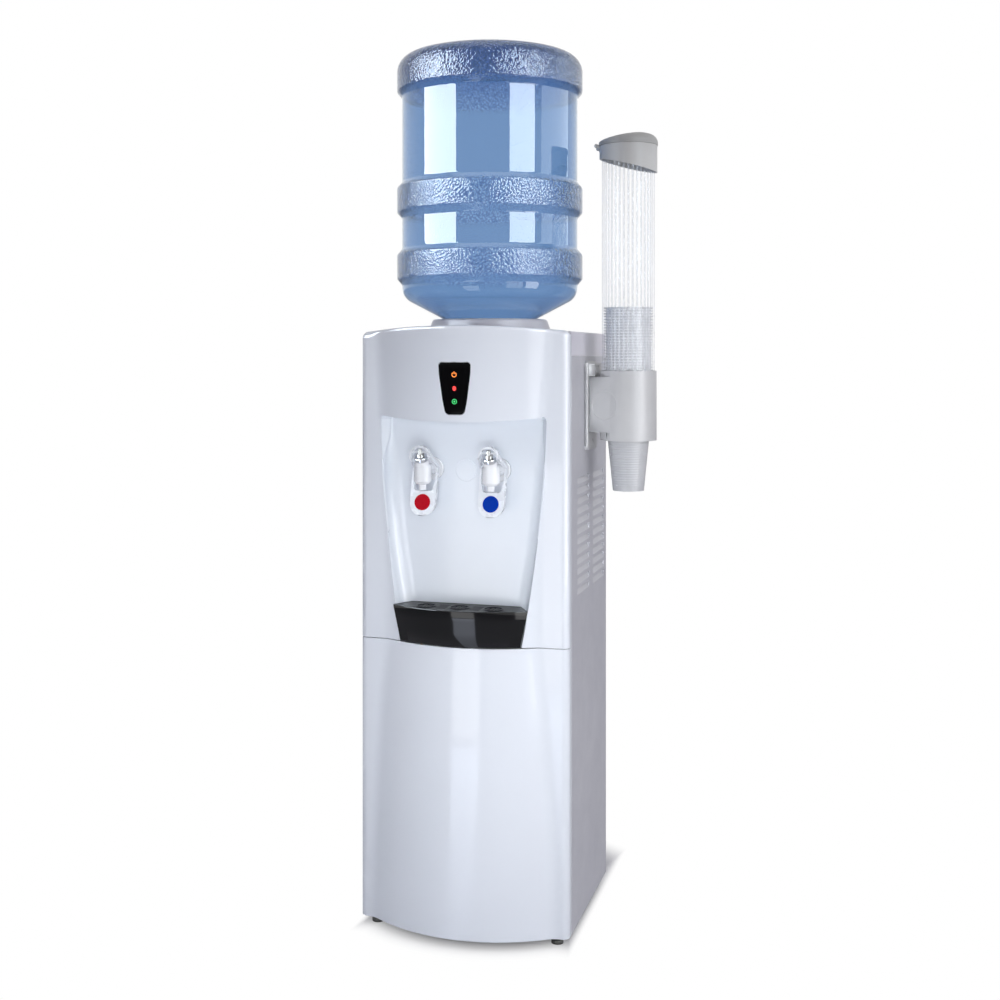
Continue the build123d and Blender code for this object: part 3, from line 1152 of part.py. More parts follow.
with BuildPart() as heater_band:
    ring = disc(level(HOT_TANK_LOW_Z + 24, HOT_TANK_X, BOTTLE_V), HOT_TANK_R + FIT + 3, HOT_TANK_R + FIT)
    extrude(ring, amount=36)
    lug = slab(level(HOT_TANK_LOW_Z + 34, HOT_TANK_X, BOTTLE_V), HOT_TANK_R + FIT + 1, HOT_TANK_R + 14, -6,
               6)
    extrude(lug, amount=16)
save(heater_band, "heater_band")


def pipe(radius, bore, bend, *points):
    """Pipe along a run of points, round at its corners."""
    with BuildLine() as path:
        FilletPolyline(*(spot(*point) for point in points), radius=bend)
    with BuildPart() as run:
        sweep(disc(Plane(origin=path.line @ 0, z_dir=path.line % 0), radius, bore), path=path.line)
    return run.part


COLD_OUT_Z = SHELF_Z - STUB_LENGTH
HOT_OUT_Z = HOT_TANK_TOP_Z + STUB_LENGTH
HOT_IN_Z = HOT_TANK_LOW_Z - STUB_LENGTH
HOSE_BEND = 9.0
HOSE_DROP = 12.0
tail_v = NICHE_BACK_V + TAIL_LENGTH
HOSE_V = tail_v + HOSE_BEND + FIT
hoses = [
    pipe(HOSE_R, HOSE_BORE_R, HOSE_BEND, (TAP_X, tail_v, TAP_Z), (TAP_X, HOSE_V, TAP_Z),
         (TAP_X, HOSE_V, COLD_OUT_Z - HOSE_DROP), (0, BOTTLE_V, COLD_OUT_Z - HOSE_DROP),
         (0, BOTTLE_V, COLD_OUT_Z)),
    pipe(HOSE_R, HOSE_BORE_R, HOSE_BEND, (-TAP_X, tail_v, TAP_Z), (-TAP_X, HOSE_V, TAP_Z),
         (-TAP_X, HOSE_V, HOT_OUT_Z + HOSE_DROP), (HOT_TANK_X, BOTTLE_V, HOT_OUT_Z + HOSE_DROP),
         (HOT_TANK_X, BOTTLE_V, HOT_OUT_Z)),
    pipe(HOSE_R, HOSE_BORE_R, HOSE_BEND, (FEED_X, BOTTLE_V, COLD_OUT_Z),
         (FEED_X, BOTTLE_V, HOT_IN_Z - HOSE_DROP),
         (HOT_TANK_X, BOTTLE_V, HOT_IN_Z - HOSE_DROP), (HOT_TANK_X, BOTTLE_V, HOT_IN_Z)),
    pipe(HOSE_R, HOSE_BORE_R, HOSE_BEND, (DRAIN_X, BOTTLE_V, HOT_IN_Z), (DRAIN_X, BOTTLE_V, DRAIN_Z),
         (DRAIN_X, DEPTH + 12, DRAIN_Z)),
]
with BuildPart() as water_hoses:
    for hose in hoses:
        add(hose)
save(water_hoses, "water_hoses")

with BuildPart() as drain_cap:
    extrude(disc(facing(DEPTH + FIT, DRAIN_X, DRAIN_Z), HOSE_R + 4), amount=-14)
    chamfer(drain_cap.edges().sort_by(Axis.Y)[-1], 1.5)
    extrude(disc(facing(DEPTH + FIT, DRAIN_X, DRAIN_Z), HOSE_R + RUNNING_FIT), amount=-12,
            mode=Mode.SUBTRACT)
save(drain_cap, "drain_cap")

# Cooling works

SHELL_LOW_Z = 40.0
SHELL_TOP_Z = 190.0
SHELL_ROUND = 34.0
SHELL_WALL = 3.2
MOTOR_R = 38.0
MOTOR_HEIGHT = 86.0
MOUNT_Z = 34.0
MOUNT_SHEET = 4.0
BASE_TOP = BASE_Z + BASE_SHEET


def shell_face(inset):
    """Half section of the compressor's shell, set in by inset: an upright can with round ends."""
    radius, turn = COMPRESSOR_R - inset, SHELL_ROUND - inset
    flat = COMPRESSOR_R - SHELL_ROUND
    bend = turn * sin(pi / 4)
    floor, roof = SHELL_LOW_Z + inset, SHELL_TOP_Z - inset
    low, top = SHELL_LOW_Z + SHELL_ROUND, SHELL_TOP_Z - SHELL_ROUND
    with BuildSketch(facing(COMPRESSOR_V, COMPRESSOR_X)) as half:
        with BuildLine():
            Polyline((flat, roof), (0, roof), (0, floor), (flat, floor))
            ThreePointArc((flat, floor), (flat + bend, low - bend), (radius, low))
            Line((radius, low), (radius, top))
            ThreePointArc((radius, top), (flat + bend, top + bend), (flat, roof))
        make_face()
    return half.sketch


with BuildPart() as compressor:
    shell_axis = upright(COMPRESSOR_X, COMPRESSOR_V)
    middle = (SHELL_LOW_Z + SHELL_TOP_Z) / 2
    revolve(shell_face(0), axis=shell_axis)
    extrude(disc(level(middle, COMPRESSOR_X, COMPRESSOR_V), COMPRESSOR_R + 3), amount=3)
    revolve(shell_face(SHELL_WALL), axis=shell_axis, mode=Mode.SUBTRACT)
    extrude(disc(level(SHELL_LOW_Z + SHELL_WALL / 2, COMPRESSOR_X, COMPRESSOR_V), MOTOR_R),
            amount=MOTOR_HEIGHT)
    foot = slab(level(MOUNT_Z, COMPRESSOR_X, COMPRESSOR_V), -MOUNT_X - 14, MOUNT_X + 14, -MOUNT_V - 12,
                MOUNT_V + 12, 12)
    extrude(foot, amount=MOUNT_SHEET)
    extrude(disc(level(MOUNT_Z, COMPRESSOR_X, COMPRESSOR_V), COMPRESSOR_R - SHELL_ROUND - 2),
            amount=SHELL_LOW_Z - MOUNT_Z + 8)
    with BuildSketch(level(MOUNT_Z, COMPRESSOR_X, COMPRESSOR_V)):
        with GridLocations(2 * MOUNT_X, 2 * MOUNT_V, 2, 2):
            Circle(6 + RUNNING_FIT)
    extrude(amount=MOUNT_SHEET, mode=Mode.SUBTRACT)
save(compressor, "compressor")

with BuildPart() as compressor_grommets:
    with BuildSketch(level(BASE_TOP, COMPRESSOR_X, COMPRESSOR_V)):
        with GridLocations(2 * MOUNT_X, 2 * MOUNT_V, 2, 2):
            Circle(GROMMET_R)
    extrude(amount=MOUNT_Z - BASE_TOP)
    with BuildSketch(level(MOUNT_Z, COMPRESSOR_X, COMPRESSOR_V)):
        with GridLocations(2 * MOUNT_X, 2 * MOUNT_V, 2, 2):
            Circle(6)
    extrude(amount=MOUNT_SHEET + 2)
    with BuildSketch(level(BASE_TOP, COMPRESSOR_X, COMPRESSOR_V)):
        with GridLocations(2 * MOUNT_X, 2 * MOUNT_V, 2, 2):
            Circle(3.2)
    extrude(amount=MOUNT_Z, mode=Mode.SUBTRACT)
save(compressor_grommets, "compressor_grommets")

# Wire-and-tube condenser: one tube that runs to and fro, with upright wires on both sides of it
TUBE_PLANE_V = DEPTH + CONDENSER_V
LEAD = 40.0
run = [(CONDENSER_HALF, TUBE_PLANE_V, CONDENSER_LOW_Z - LEAD)]
for row in range(CONDENSER_PASSES):
    z = CONDENSER_LOW_Z + row * CONDENSER_PITCH
    ends = (CONDENSER_HALF, -CONDENSER_HALF) if row % 2 == 0 else (-CONDENSER_HALF, CONDENSER_HALF)
    run += [(end, TUBE_PLANE_V, z) for end in ends]
condenser_run = pipe(PIPE_R, PIPE_R - 0.7, CONDENSER_BEND, *run)
with BuildPart() as condenser_tube:
    add(condenser_run)
save(condenser_tube, "condenser_tube")

wire_span = 2 * (LUG_X - LUG_HALF - WIRE_R - FIT)
wire_low = CONDENSER_LOW_Z - 12
wire_high = CONDENSER_LOW_Z + (CONDENSER_PASSES - 1) * CONDENSER_PITCH + 12
with BuildPart() as condenser_wires:
    for side in (-1, 1):
        with BuildSketch(level(wire_low, 0, TUBE_PLANE_V + side * (PIPE_R + WIRE_R + RUNNING_FIT))):
            with GridLocations(wire_span / (WIRE_COUNT - 1), 0, WIRE_COUNT, 1):
                Circle(WIRE_R)
        extrude(amount=wire_high - wire_low)
save(condenser_wires, "condenser_wires")

PIPE_BEND = 14.0
DISCHARGE_Z = 140.0
RETURN_Z = 100.0
SUCTION_Z = 640.0
shell_x = COMPRESSOR_X + COMPRESSOR_R
reach = sqrt(SUCTION_X ** 2 + (SUCTION_V - BOTTLE_V) ** 2)
share = (FOAM_R + FIT) / reach
refrigerant = [
    pipe(PIPE_R, PIPE_R - 0.7, PIPE_BEND, (shell_x + FIT, COMPRESSOR_V, DISCHARGE_Z),
         (CONDENSER_HALF, COMPRESSOR_V, DISCHARGE_Z), (CONDENSER_HALF, TUBE_PLANE_V, DISCHARGE_Z),
         (CONDENSER_HALF, TUBE_PLANE_V, CONDENSER_LOW_Z - LEAD)),
    pipe(PIPE_R, PIPE_R - 0.7, PIPE_BEND, (COMPRESSOR_X - COMPRESSOR_R - FIT, COMPRESSOR_V, RETURN_Z),
         (SUCTION_X, COMPRESSOR_V, RETURN_Z), (SUCTION_X, SUCTION_V, SUCTION_Z),
         (share * SUCTION_X, BOTTLE_V + share * (SUCTION_V - BOTTLE_V), SUCTION_Z)),
]
with BuildPart() as refrigerant_pipes:
    for line in refrigerant:
        add(line)
save(refrigerant_pipes, "refrigerant_pipes")

# Switches and mains inlet on the back

BEZEL = 3.0
BEZEL_THICK = 2.5
ROCKER_HALF = 7.5
ROCKER_PITCH = 20.0
ROCKER_TILT = 9.0
WELL_HALF_Z = SWITCH_HALF_Z - 3
WELL_HALF_X = ROCKER_HALF + FIT
WELL_DEPTH = 18.0
TRUNNION_R = 1.5
TRUNNION_REACH = 1.2
ROCKER_V = DEPTH - SHEET + BEZEL_THICK - 6.0
with BuildPart() as switch_housing:
    place = facing(DEPTH - SHEET, SWITCH_X, SWITCH_Z)
    extrude(slab(place, -SWITCH_HALF_X - BEZEL, SWITCH_HALF_X + BEZEL, -SWITCH_HALF_Z - BEZEL,
                 SWITCH_HALF_Z + BEZEL, 3),
            amount=-BEZEL_THICK)
    extrude(slab(place, -SWITCH_HALF_X + FIT, SWITCH_HALF_X - FIT, -SWITCH_HALF_Z + FIT,
                 SWITCH_HALF_Z - FIT),
            amount=WELL_DEPTH)
    for side in (-1, 1):
        well = facing(DEPTH - SHEET + BEZEL_THICK, SWITCH_X + side * ROCKER_PITCH / 2, SWITCH_Z)
        extrude(slab(well, -WELL_HALF_X, WELL_HALF_X, -WELL_HALF_Z, WELL_HALF_Z), amount=WELL_DEPTH,
                mode=Mode.SUBTRACT)
        bearing = sideways(SWITCH_X + side * ROCKER_PITCH / 2, ROCKER_V, SWITCH_Z)
        extrude(disc(bearing, TRUNNION_R + RUNNING_FIT), amount=WELL_HALF_X + TRUNNION_REACH, both=True,
                mode=Mode.SUBTRACT)
save(switch_housing, "switch_housing")

for name, side in (("hot_switch", 1), ("cold_switch", -1)):
    lean = radians(ROCKER_TILT)
    pivot = Plane(origin=spot(SWITCH_X + side * ROCKER_PITCH / 2, ROCKER_V, SWITCH_Z),
                  x_dir=(0, cos(lean), sin(lean)),
                  z_dir=(1, 0, 0))
    end = WELL_HALF_Z - 1.5
    with BuildPart() as rocker:
        outline = face(pivot, (8.5, end), (6.5, 0), (8.5, -end), (2, -end), (-3, -3), (-3, 3), (2, end))
        extrude(outline, amount=ROCKER_HALF, both=True)
        extrude(disc(pivot, TRUNNION_R), amount=ROCKER_HALF + TRUNNION_REACH, both=True)
    save(rocker, name)

with BuildPart() as mains_inlet:
    place = facing(REAR_V, INLET_X, INLET_Z)
    extrude(disc(place, INLET_R + 4), amount=-4)
    extrude(disc(place, INLET_R), amount=10)
    extrude(disc(place, INLET_R + 0.5), amount=-14)
    chamfer(mains_inlet.edges().sort_by(Axis.Y)[-1], 1.5)
    extrude(disc(facing(REAR_V + 20, INLET_X, INLET_Z), 3.4), amount=40, mode=Mode.SUBTRACT)
save(mains_inlet, "mains_inlet")
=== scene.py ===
"""Looks of a floor-standing water cooler with an inverted bottle, two push taps and a cup dispenser.

Shapes are worked out in millimetres in cabinet terms: x from the cabinet's middle to its right, v from the
plane of its front corners to the back, z from the floor. place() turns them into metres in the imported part's
frame.
"""

import json
from math import atan2, cos, pi, radians, sin, tan

import bmesh
import bpy
import numpy as np
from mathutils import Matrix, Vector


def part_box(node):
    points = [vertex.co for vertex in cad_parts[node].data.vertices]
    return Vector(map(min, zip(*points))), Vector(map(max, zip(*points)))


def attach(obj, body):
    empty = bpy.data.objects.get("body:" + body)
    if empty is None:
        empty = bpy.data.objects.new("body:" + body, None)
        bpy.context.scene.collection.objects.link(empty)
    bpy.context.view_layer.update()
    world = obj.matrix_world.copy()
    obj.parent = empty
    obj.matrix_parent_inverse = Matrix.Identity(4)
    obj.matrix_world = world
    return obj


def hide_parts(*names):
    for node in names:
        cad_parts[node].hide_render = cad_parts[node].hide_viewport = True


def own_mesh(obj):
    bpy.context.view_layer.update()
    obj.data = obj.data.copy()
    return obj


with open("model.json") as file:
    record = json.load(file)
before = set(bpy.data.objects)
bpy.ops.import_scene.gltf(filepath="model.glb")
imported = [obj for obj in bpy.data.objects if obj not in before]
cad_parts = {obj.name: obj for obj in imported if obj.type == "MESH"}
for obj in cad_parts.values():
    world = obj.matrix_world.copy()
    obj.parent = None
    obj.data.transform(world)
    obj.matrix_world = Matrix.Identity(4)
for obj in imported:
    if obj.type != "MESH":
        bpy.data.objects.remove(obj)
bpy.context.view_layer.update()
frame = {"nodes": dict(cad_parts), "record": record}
nodes = frame["nodes"]
bodies = frame["record"]["behaviour"]["bodies"]
body_of = {node: body for body, members in bodies.items() for node in members}

# Sizes repeated from the solids, in millimetres
WIDTH, DEPTH, RETURN = 305.0, 245.0, 8.0
FOOT_GAP, SEAM_Z, SEAM_GAP, TOP_Z, CROWN = 12.0, 410.0, 1.0, 846.0, 8.0
WING_REACH, CORNER_R, BOW_AXIS_V = 10.5, 10.0, 180.0
LOWER_HEIGHTS, LOWER_RADII = (12.0, 211.0, 410.0), (231.5, 228.6, 219.6)
UPPER_HEIGHTS, UPPER_RADII = (410.0, 628.0, 846.0), (219.6, 221.4, 228.6)
PANEL_WALL, BOTTLE_WALL, FIT = 2.5, 2.0, 0.3
NICHE_HEIGHTS, NICHE_HALVES = (407.5, 462.0, 728.0), (88.0, 99.0, 127.5)
NICHE_BACK_V, NICHE_REF_V, NICHE_FLARE, NICHE_DIP = 9.0, -20.0, 0.55, 7.0
NICHE_FLOOR_Z, LENS_PROUD = 412.6, 0.8
TRAY_LOW_Z, TRAY_TOP_Z, TRAY_LEDGE_Z = 411.2, 462.0, 459.4
TRAY_HALVES, TRAY_REACHES, TRAY_CORNER_REACH, TRAY_BACK_GAP = (85.5, 96.5), (44.0, 52.0), 23.0, 0.8
TAP_X, TAP_V, TAP_Z, TAP_TILT = 49.5, -36.0, 652.0, 22.0
STEM_R, SPRING_RUN, STEM_LIFT = 3.15, (3.2, 14.2), 2.9
BOTTLE_V, TUBE_X, CUP_V = 126.0, 210.5, 123.0
TUBE_R, TUBE_BORE_R, TUBE_RIBS, RIB_R = 37.6, 36.3, 36, 0.7
TUBE_LOW_Z, TUBE_TOP_Z = 717.0, 1113.0
CUP_LOW_Z, CUP_LOW_R, CUP_RIM_Z, CUP_PITCH, STACKED_CUPS = 617.0, 22.5, 714.0, 4.1, 41

# Sizes set for the looks, in millimetres
WING_BLEND, LOWER_EDGE, UPPER_EDGE = 6.0, 0.8, 0.9
NICHE_WALL, NICHE_CORNER, MOUTH_SETBACK = 1.8, 4.0, (1.0, 2.0)
NICHE_ROUND, NICHE_TOP_ROUND, ROUND_START, ROUND_SPAN, PANEL_LAP = 20.0, 3.2, 70.0, 60.0, 1.2
FAN_Z, FAN_X, CROWN_ROLL = 740.0, 119.0, 4.0
LENS_MIDDLE_Z, SEAL_MIDDLE_Z, LIGHT_PROUD = 768.0, 767.0, 0.95
TRAY_BASIN_Z, COLLAR_WALL = 415.3, 2.0
FERRULE_RUN, FERRULE_R, FERRULE_NECK_R, FERRULE_FIT = (22.2, 26.6), 5.1, 4.6, 0.05
THREAD_PITCH, THREAD_RISE, PIN_START = 1.3, 0.3, 0.2
CUP_RINGS, RING_RISE, TAPER_SPREAD, TAPER_RISE = 22, 0.22, 7.8, 78.0
PEBBLE, BOTTLE_RIPPLE = 3.4, 60.0

# Heights of the bottle's pebbled bands, in metres, and its colour
PEBBLED_BANDS, BAND_FADE = ((0.924, 0.964), (1.023, 1.063), (1.203, 1.30)), 0.004
BOTTLE_BLUE = "#a4bedb"

# Directions, and limits for shading in degrees, for merging in metres and for straight corners in radians
FORWARD, UPWARD = (0, -1, 0), (0, 0, 1)
SHARP_ANGLE, COPY_ANGLE, MERGE_REACH, NEARLY_STRAIGHT = 40.0, 32.0, 2e-6, 1.56

lower_low, lower_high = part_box("lower_front_panel")
CENTRE_X = 500 * (lower_low[0] + lower_high[0])
CORNER_Y = 1000 * lower_high[1] - RETURN


def place(x, v, z):
    """Cabinet millimetres to metres in the part's frame, as an array whose last axis is X, Y, Z."""
    x, v, z = np.broadcast_arrays(x, v, z)
    return np.stack([CENTRE_X + x, CORNER_Y + v, z], axis=-1) / 1000


# Meshes


def new_piece(name, mesh, material, node=None, body=None):
    """Object for a finished mesh: it rides on a body and stands for a CAD node where one is named."""
    piece = bpy.data.objects.new(name, mesh)
    bpy.context.collection.objects.link(piece)
    mesh.materials.clear()
    mesh.materials.append(material)
    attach(piece, body or body_of[node])
    if node:
        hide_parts(node)
    return piece


def settle(mesh, sharp=SHARP_ANGLE, outward=None):
    """Merges doubled points, turns the faces outwards and shades smooth up to the sharp angle.

    A closed shell is turned by Blender. An open sheet has outward, the way that most of it should face."""
    work = bmesh.new()
    work.from_mesh(mesh)
    bmesh.ops.remove_doubles(work, verts=work.verts, dist=MERGE_REACH)
    bmesh.ops.recalc_face_normals(work, faces=work.faces)
    if outward is not None:
        facing = sum(face.normal.dot(outward) * face.calc_area() for face in work.faces)
        if facing < 0:
            bmesh.ops.reverse_faces(work, faces=work.faces)
    work.to_mesh(mesh)
    work.free()
    mesh.polygons.foreach_set("use_smooth", np.ones(len(mesh.polygons), dtype=bool))
    mesh.set_sharp_from_angle(angle=radians(sharp))
    mesh.update()
    return mesh


def grid_mesh(name, *grids, around=False, sharp=SHARP_ANGLE, outward=None):
    """Mesh of quads between neighbouring rows and columns of arrays of points.

    The columns close round to the first one if asked."""
    points, quads = [], []
    for grid in grids:
        rows, columns = grid.shape[:2]
        index = np.arange(rows * columns).reshape(rows, columns) + sum(len(block) for block in points)
        if around:
            index = np.concatenate([index, index[:, :1]], axis=1)
        corners = [index[:-1, :-1], index[:-1, 1:], index[1:, 1:], index[1:, :-1]]
        quads.append(np.stack(corners, axis=-1).reshape(-1, 4))
        points.append(grid.reshape(-1, 3))
    mesh = bpy.data.meshes.new(name)
    mesh.from_pydata(np.concatenate(points).tolist(), [], np.concatenate(quads).tolist())
    return settle(mesh, sharp, outward)


def rounded(corners, steps=6):
    """Line through (a, b, radius) corners, each one turned into an arc that touches both its runs."""
    line = [corners[0][:2]]
    for before, (a, b, radius), after in zip(corners, corners[1:-1], corners[2:]):
        corner = np.array([a, b])
        inward = [np.array(end[:2]) - corner for end in (before, after)]
        inward = [way / np.linalg.norm(way) for way in inward]
        half = 0.5 * np.arccos(np.clip(np.dot(*inward), -1, 1))
        if radius == 0 or half > NEARLY_STRAIGHT:
            line.append((a, b))
            continue
        bisector = inward[0] + inward[1]
        middle = corner + bisector / np.linalg.norm(bisector) * radius / sin(half)
        starts = [corner + way * radius / tan(half) - middle for way in inward]
        first = atan2(starts[0][1], starts[0][0])
        sweep = (atan2(starts[1][1], starts[1][0]) - first + pi) % (2 * pi) - pi
        angles = first + sweep * np.linspace(0, 1, steps + 1)
        line += [(middle[0] + radius * cos(angle), middle[1] + radius * sin(angle)) for angle in angles]
    line.append(corners[-1][:2])
    return np.array(line)


def turned_mesh(name, profile, x, v, segments=160, sharp=SHARP_ANGLE):
    """Surface of revolution: a line of (radius, height) points turned about the upright axis at x, v."""
    angle = np.linspace(0, 2 * pi, segments, endpoint=False)
    radius, height = profile[:, :1], profile[:, 1:]
    points = place(x + radius * np.cos(angle), v + radius * np.sin(angle), height + 0 * angle)
    return grid_mesh(name, points, around=True, sharp=sharp)


def thicken(piece, wall):
    """Gives an open sheet its wall, on the side away from its normals."""
    shell = piece.modifiers.new("wall", "SOLIDIFY")
    shell.thickness, shell.offset, shell.use_quality_normals = wall / 1000, -1.0, True


def soften(piece, width):
    """Rounds a piece's sharp edges."""
    edge = piece.modifiers.new("edges", "BEVEL")
    edge.width, edge.segments = width / 1000, 3
    edge.limit_method, edge.angle_limit = "ANGLE", radians(SHARP_ANGLE)
    edge.harden_normals = True


def smooth_copy(node, material):
    """Merged copy of a CAD node, which stands for it: round faces shaded smoothly, flat ones kept flat."""
    mesh = settle(nodes[node].data.copy(), COPY_ANGLE)
    piece = new_piece(f"{node}_finish", mesh, material, node)
    piece.modifiers.new("flats", "WEIGHTED_NORMAL").keep_sharp = True
    return piece


def paint(node, material):
    """A CAD node keeps its shape and gets a finish."""
    nodes[node].data.materials.clear()
    nodes[node].data.materials.append(material)


# Materials


def linear(colour):
    """Linear RGBA of an sRGB hex colour."""
    values = np.array([int(colour[i:i + 2], 16) / 255 for i in (1, 3, 5)])
    values = np.where(values <= 0.04045, values / 12.92, ((values + 0.055) / 1.055) ** 2.4)
    return (*values.tolist(), 1.0)


def add(tree, kind, feeds=None, **settings):
    """Adds a node. Feeds are sockets or numbers for its inputs by name or place; settings are the node's own
    values, or an input's where the name is one."""
    made = tree.nodes.new(f"ShaderNode{kind}")
    for key, value in settings.items():
        name = key.replace("_", " ")
        if name in made.inputs:
            made.inputs[name].default_value = value
        else:
            setattr(made, key, value)
    for key, value in (feeds or {}).items():
        if isinstance(value, float):
            made.inputs[key].default_value = value
        else:
            tree.links.new(value, made.inputs[key])
    return made


def finish(name, colour, **settings):
    """New material with a Principled shader in one colour.

    Gives back the material, its tree, its shader and its object coordinates."""
    material = bpy.data.materials.new(name)
    material.use_nodes = True
    tree = material.node_tree
    shader = tree.nodes["Principled BSDF"]
    shader.inputs["Base Color"].default_value = linear(colour)
    for key, value in settings.items():
        shader.inputs[key.replace("_", " ")].default_value = value
    where = add(tree, "TexCoord").outputs["Object"]
    return material, tree, shader, where


def vary_colour(tree, shader, where, low, high, grain):
    """Feeds the colour with soft blotches between two hex colours, grain millimetres across."""
    noise = add(tree, "TexNoise", {"Vector": where}, Scale=1000 / grain, Detail=3.0, Roughness=0.55)
    ramp = add(tree, "ValToRGB", {"Fac": noise.outputs["Fac"]})
    first, last = ramp.color_ramp.elements
    first.position, last.position = 0.3, 0.7
    first.color, last.color = linear(low), linear(high)
    tree.links.new(ramp.outputs["Color"], shader.inputs["Base Color"])


def vary_gloss(tree, shader, where, low, high, grain):
    """Feeds the roughness with soft blotches between two values, grain millimetres across."""
    noise = add(tree, "TexNoise", {"Vector": where}, Scale=1000 / grain, Detail=4.0, Roughness=0.6)
    spread = add(tree, "MapRange", {"Value": noise.outputs["Fac"]}, From_Min=0.3, From_Max=0.7,
                 To_Min=low, To_Max=high)
    tree.links.new(spread.outputs["Result"], shader.inputs["Roughness"])


def grain_bump(tree, shader, where, grain, height):
    """Feeds the normal with a fine noise, grain millimetres across and height millimetres deep."""
    noise = add(tree, "TexNoise", {"Vector": where}, Scale=1000 / grain, Detail=2.0)
    bump = add(tree, "Bump", {"Height": noise.outputs["Fac"]}, Distance=height / 1000, Strength=1.0)
    tree.links.new(bump.outputs["Normal"], shader.inputs["Normal"])


def moulded_plastic(name, colours, gloss, orange_peel=0.004, **settings):
    """Injection-moulded plastic: even colour, gloss that wanders a little and a faint orange peel."""
    material, tree, shader, where = finish(name, colours[0], IOR=1.5, **settings)
    vary_colour(tree, shader, where, *colours, grain=70.0)
    vary_gloss(tree, shader, where, gloss * 0.92, gloss * 1.1, grain=45.0)
    grain_bump(tree, shader, where, grain=6.0, height=orange_peel)
    return material


def powder_coat(name, colours):
    """Powder-coated sheet steel: satin, with a fine orange peel."""
    material, tree, shader, where = finish(name, colours[0], IOR=1.5)
    vary_colour(tree, shader, where, *colours, grain=90.0)
    vary_gloss(tree, shader, where, 0.34, 0.46, grain=30.0)
    grain_bump(tree, shader, where, grain=1.6, height=0.02)
    return material


def bare_metal(name, colours, gloss, grain):
    """Bare metal: full reflection, with a gloss that wanders from spot to spot."""
    material, tree, shader, where = finish(name, colours[0], Metallic=1.0)
    vary_colour(tree, shader, where, *colours, grain=12.0)
    vary_gloss(tree, shader, where, gloss * 0.7, gloss * 1.4, grain)
    return material


front_abs = moulded_plastic("high_gloss_ABS", ("#e6eaf1", "#e7ebf2"), 0.07, orange_peel=0.002)
niche_abs = moulded_plastic("high_gloss_ABS_niche", ("#e3e8ef", "#e5eaf1"), 0.09, orange_peel=0.002)
skirt_abs = moulded_plastic("satin_ABS_skirt", ("#d2d0da", "#d9d7e1"), 0.30, Specular_IOR_Level=0.25)
collar_abs = moulded_plastic("satin_ABS_collar", ("#d0ccd0", "#d8d5d8"), 0.30, Specular_IOR_Level=0.25)
side_paint = powder_coat("powder_coat_grey", ("#bcbcc3", "#c2c2c8"))
zinc_sheet = powder_coat("galvanised_sheet", ("#9ea0a2", "#a9abad"))
black_abs = moulded_plastic("piano_black_ABS", ("#050507", "#08080a"), 0.08, orange_peel=0.001,
                            Specular_IOR_Level=0.4)
window_abs = moulded_plastic("smoked_black_PMMA", ("#050506", "#08080a"), 0.12, orange_peel=0.001,
                             Specular_IOR_Level=0.06)
grille_abs = moulded_plastic("satin_black_ABS", ("#0e0e10", "#141416"), 0.30, Specular_IOR_Level=0.12)
tap_abs = moulded_plastic("tap_white_ABS", ("#eceef1", "#f2f3f5"), 0.16)
holder_abs = moulded_plastic("light_grey_PS", ("#c3c3c4", "#cacacb"), 0.33)
cap_abs = moulded_plastic("pale_grey_PS_cap", ("#cfcfcc", "#d5d5d2"), 0.42, Specular_IOR_Level=0.08)
lid_abs = moulded_plastic("light_grey_PS_lid", ("#b4b4b1", "#bbbbb8"), 0.42, Specular_IOR_Level=0.06)
foot_rubber = moulded_plastic("black_rubber", ("#161616", "#1f1f1f"), 0.65)
chrome = bare_metal("chrome_plate", ("#d9dadd", "#e2e3e6"), 0.07, 8.0)
ferrule_steel = bare_metal("turned_steel", ("#a9a7a3", "#bab8b4"), 0.24, 2.0)
pin_nylon = moulded_plastic("white_nylon", ("#e6e8ec", "#eceef1"), 0.3)
stud_steel = bare_metal("dull_zinc_stud", ("#5f5f5d", "#747471"), 0.38, 3.0)
zinc_steel = bare_metal("zinc_plated_steel", ("#a9a9a6", "#b7b7b4"), 0.32, 4.0)
tank_steel = bare_metal("stainless_sheet", ("#b0b2b4", "#bdbfc1"), 0.30, 20.0)
copper = bare_metal("copper_tube", ("#b5714b", "#c58259"), 0.30, 9.0)
black_enamel = moulded_plastic("black_enamel", ("#131314", "#1b1b1c"), 0.35)
foam = moulded_plastic("white_EPS_foam", ("#e6e6e2", "#f0f0ec"), 0.85)
hose_silicone = moulded_plastic("silicone_hose", ("#d8d8d2", "#e0e0da"), 0.45)
board_green = moulded_plastic("green_circuit_board", ("#1d5a35", "#23673d"), 0.45)
red_abs = moulded_plastic("red_ABS", ("#b8021a", "#c0061e"), 0.16, Specular_IOR_Level=0.06)
blue_abs = moulded_plastic("blue_ABS", ("#0132a0", "#0438aa"), 0.16, Specular_IOR_Level=0.06)
green_abs = moulded_plastic("green_ABS", ("#1c6b38", "#227541"), 0.22)
cap_pe = moulded_plastic("blue_PE_cap", ("#2c4f9e", "#3358a8"), 0.45)


def threaded_steel():
    """Machined stem: bright steel with a drawn thread. A wave texture turns by 20 radians over each unit."""
    material, tree, shader, where = finish("threaded_steel", "#b4b2ae", Metallic=1.0)
    vary_gloss(tree, shader, where, 0.22, 0.38, grain=3.0)
    turn = add(tree, "Mapping", {"Vector": where}, Rotation=(radians(-TAP_TILT), 0, 0))
    wave = add(tree, "TexWave", {"Vector": turn.outputs["Vector"]}, bands_direction="Z",
               Scale=2 * pi * 1000 / THREAD_PITCH / 20)
    bump = add(tree, "Bump", {"Height": wave.outputs["Fac"]}, Distance=0.0002)
    tree.links.new(bump.outputs["Normal"], shader.inputs["Normal"])
    return material


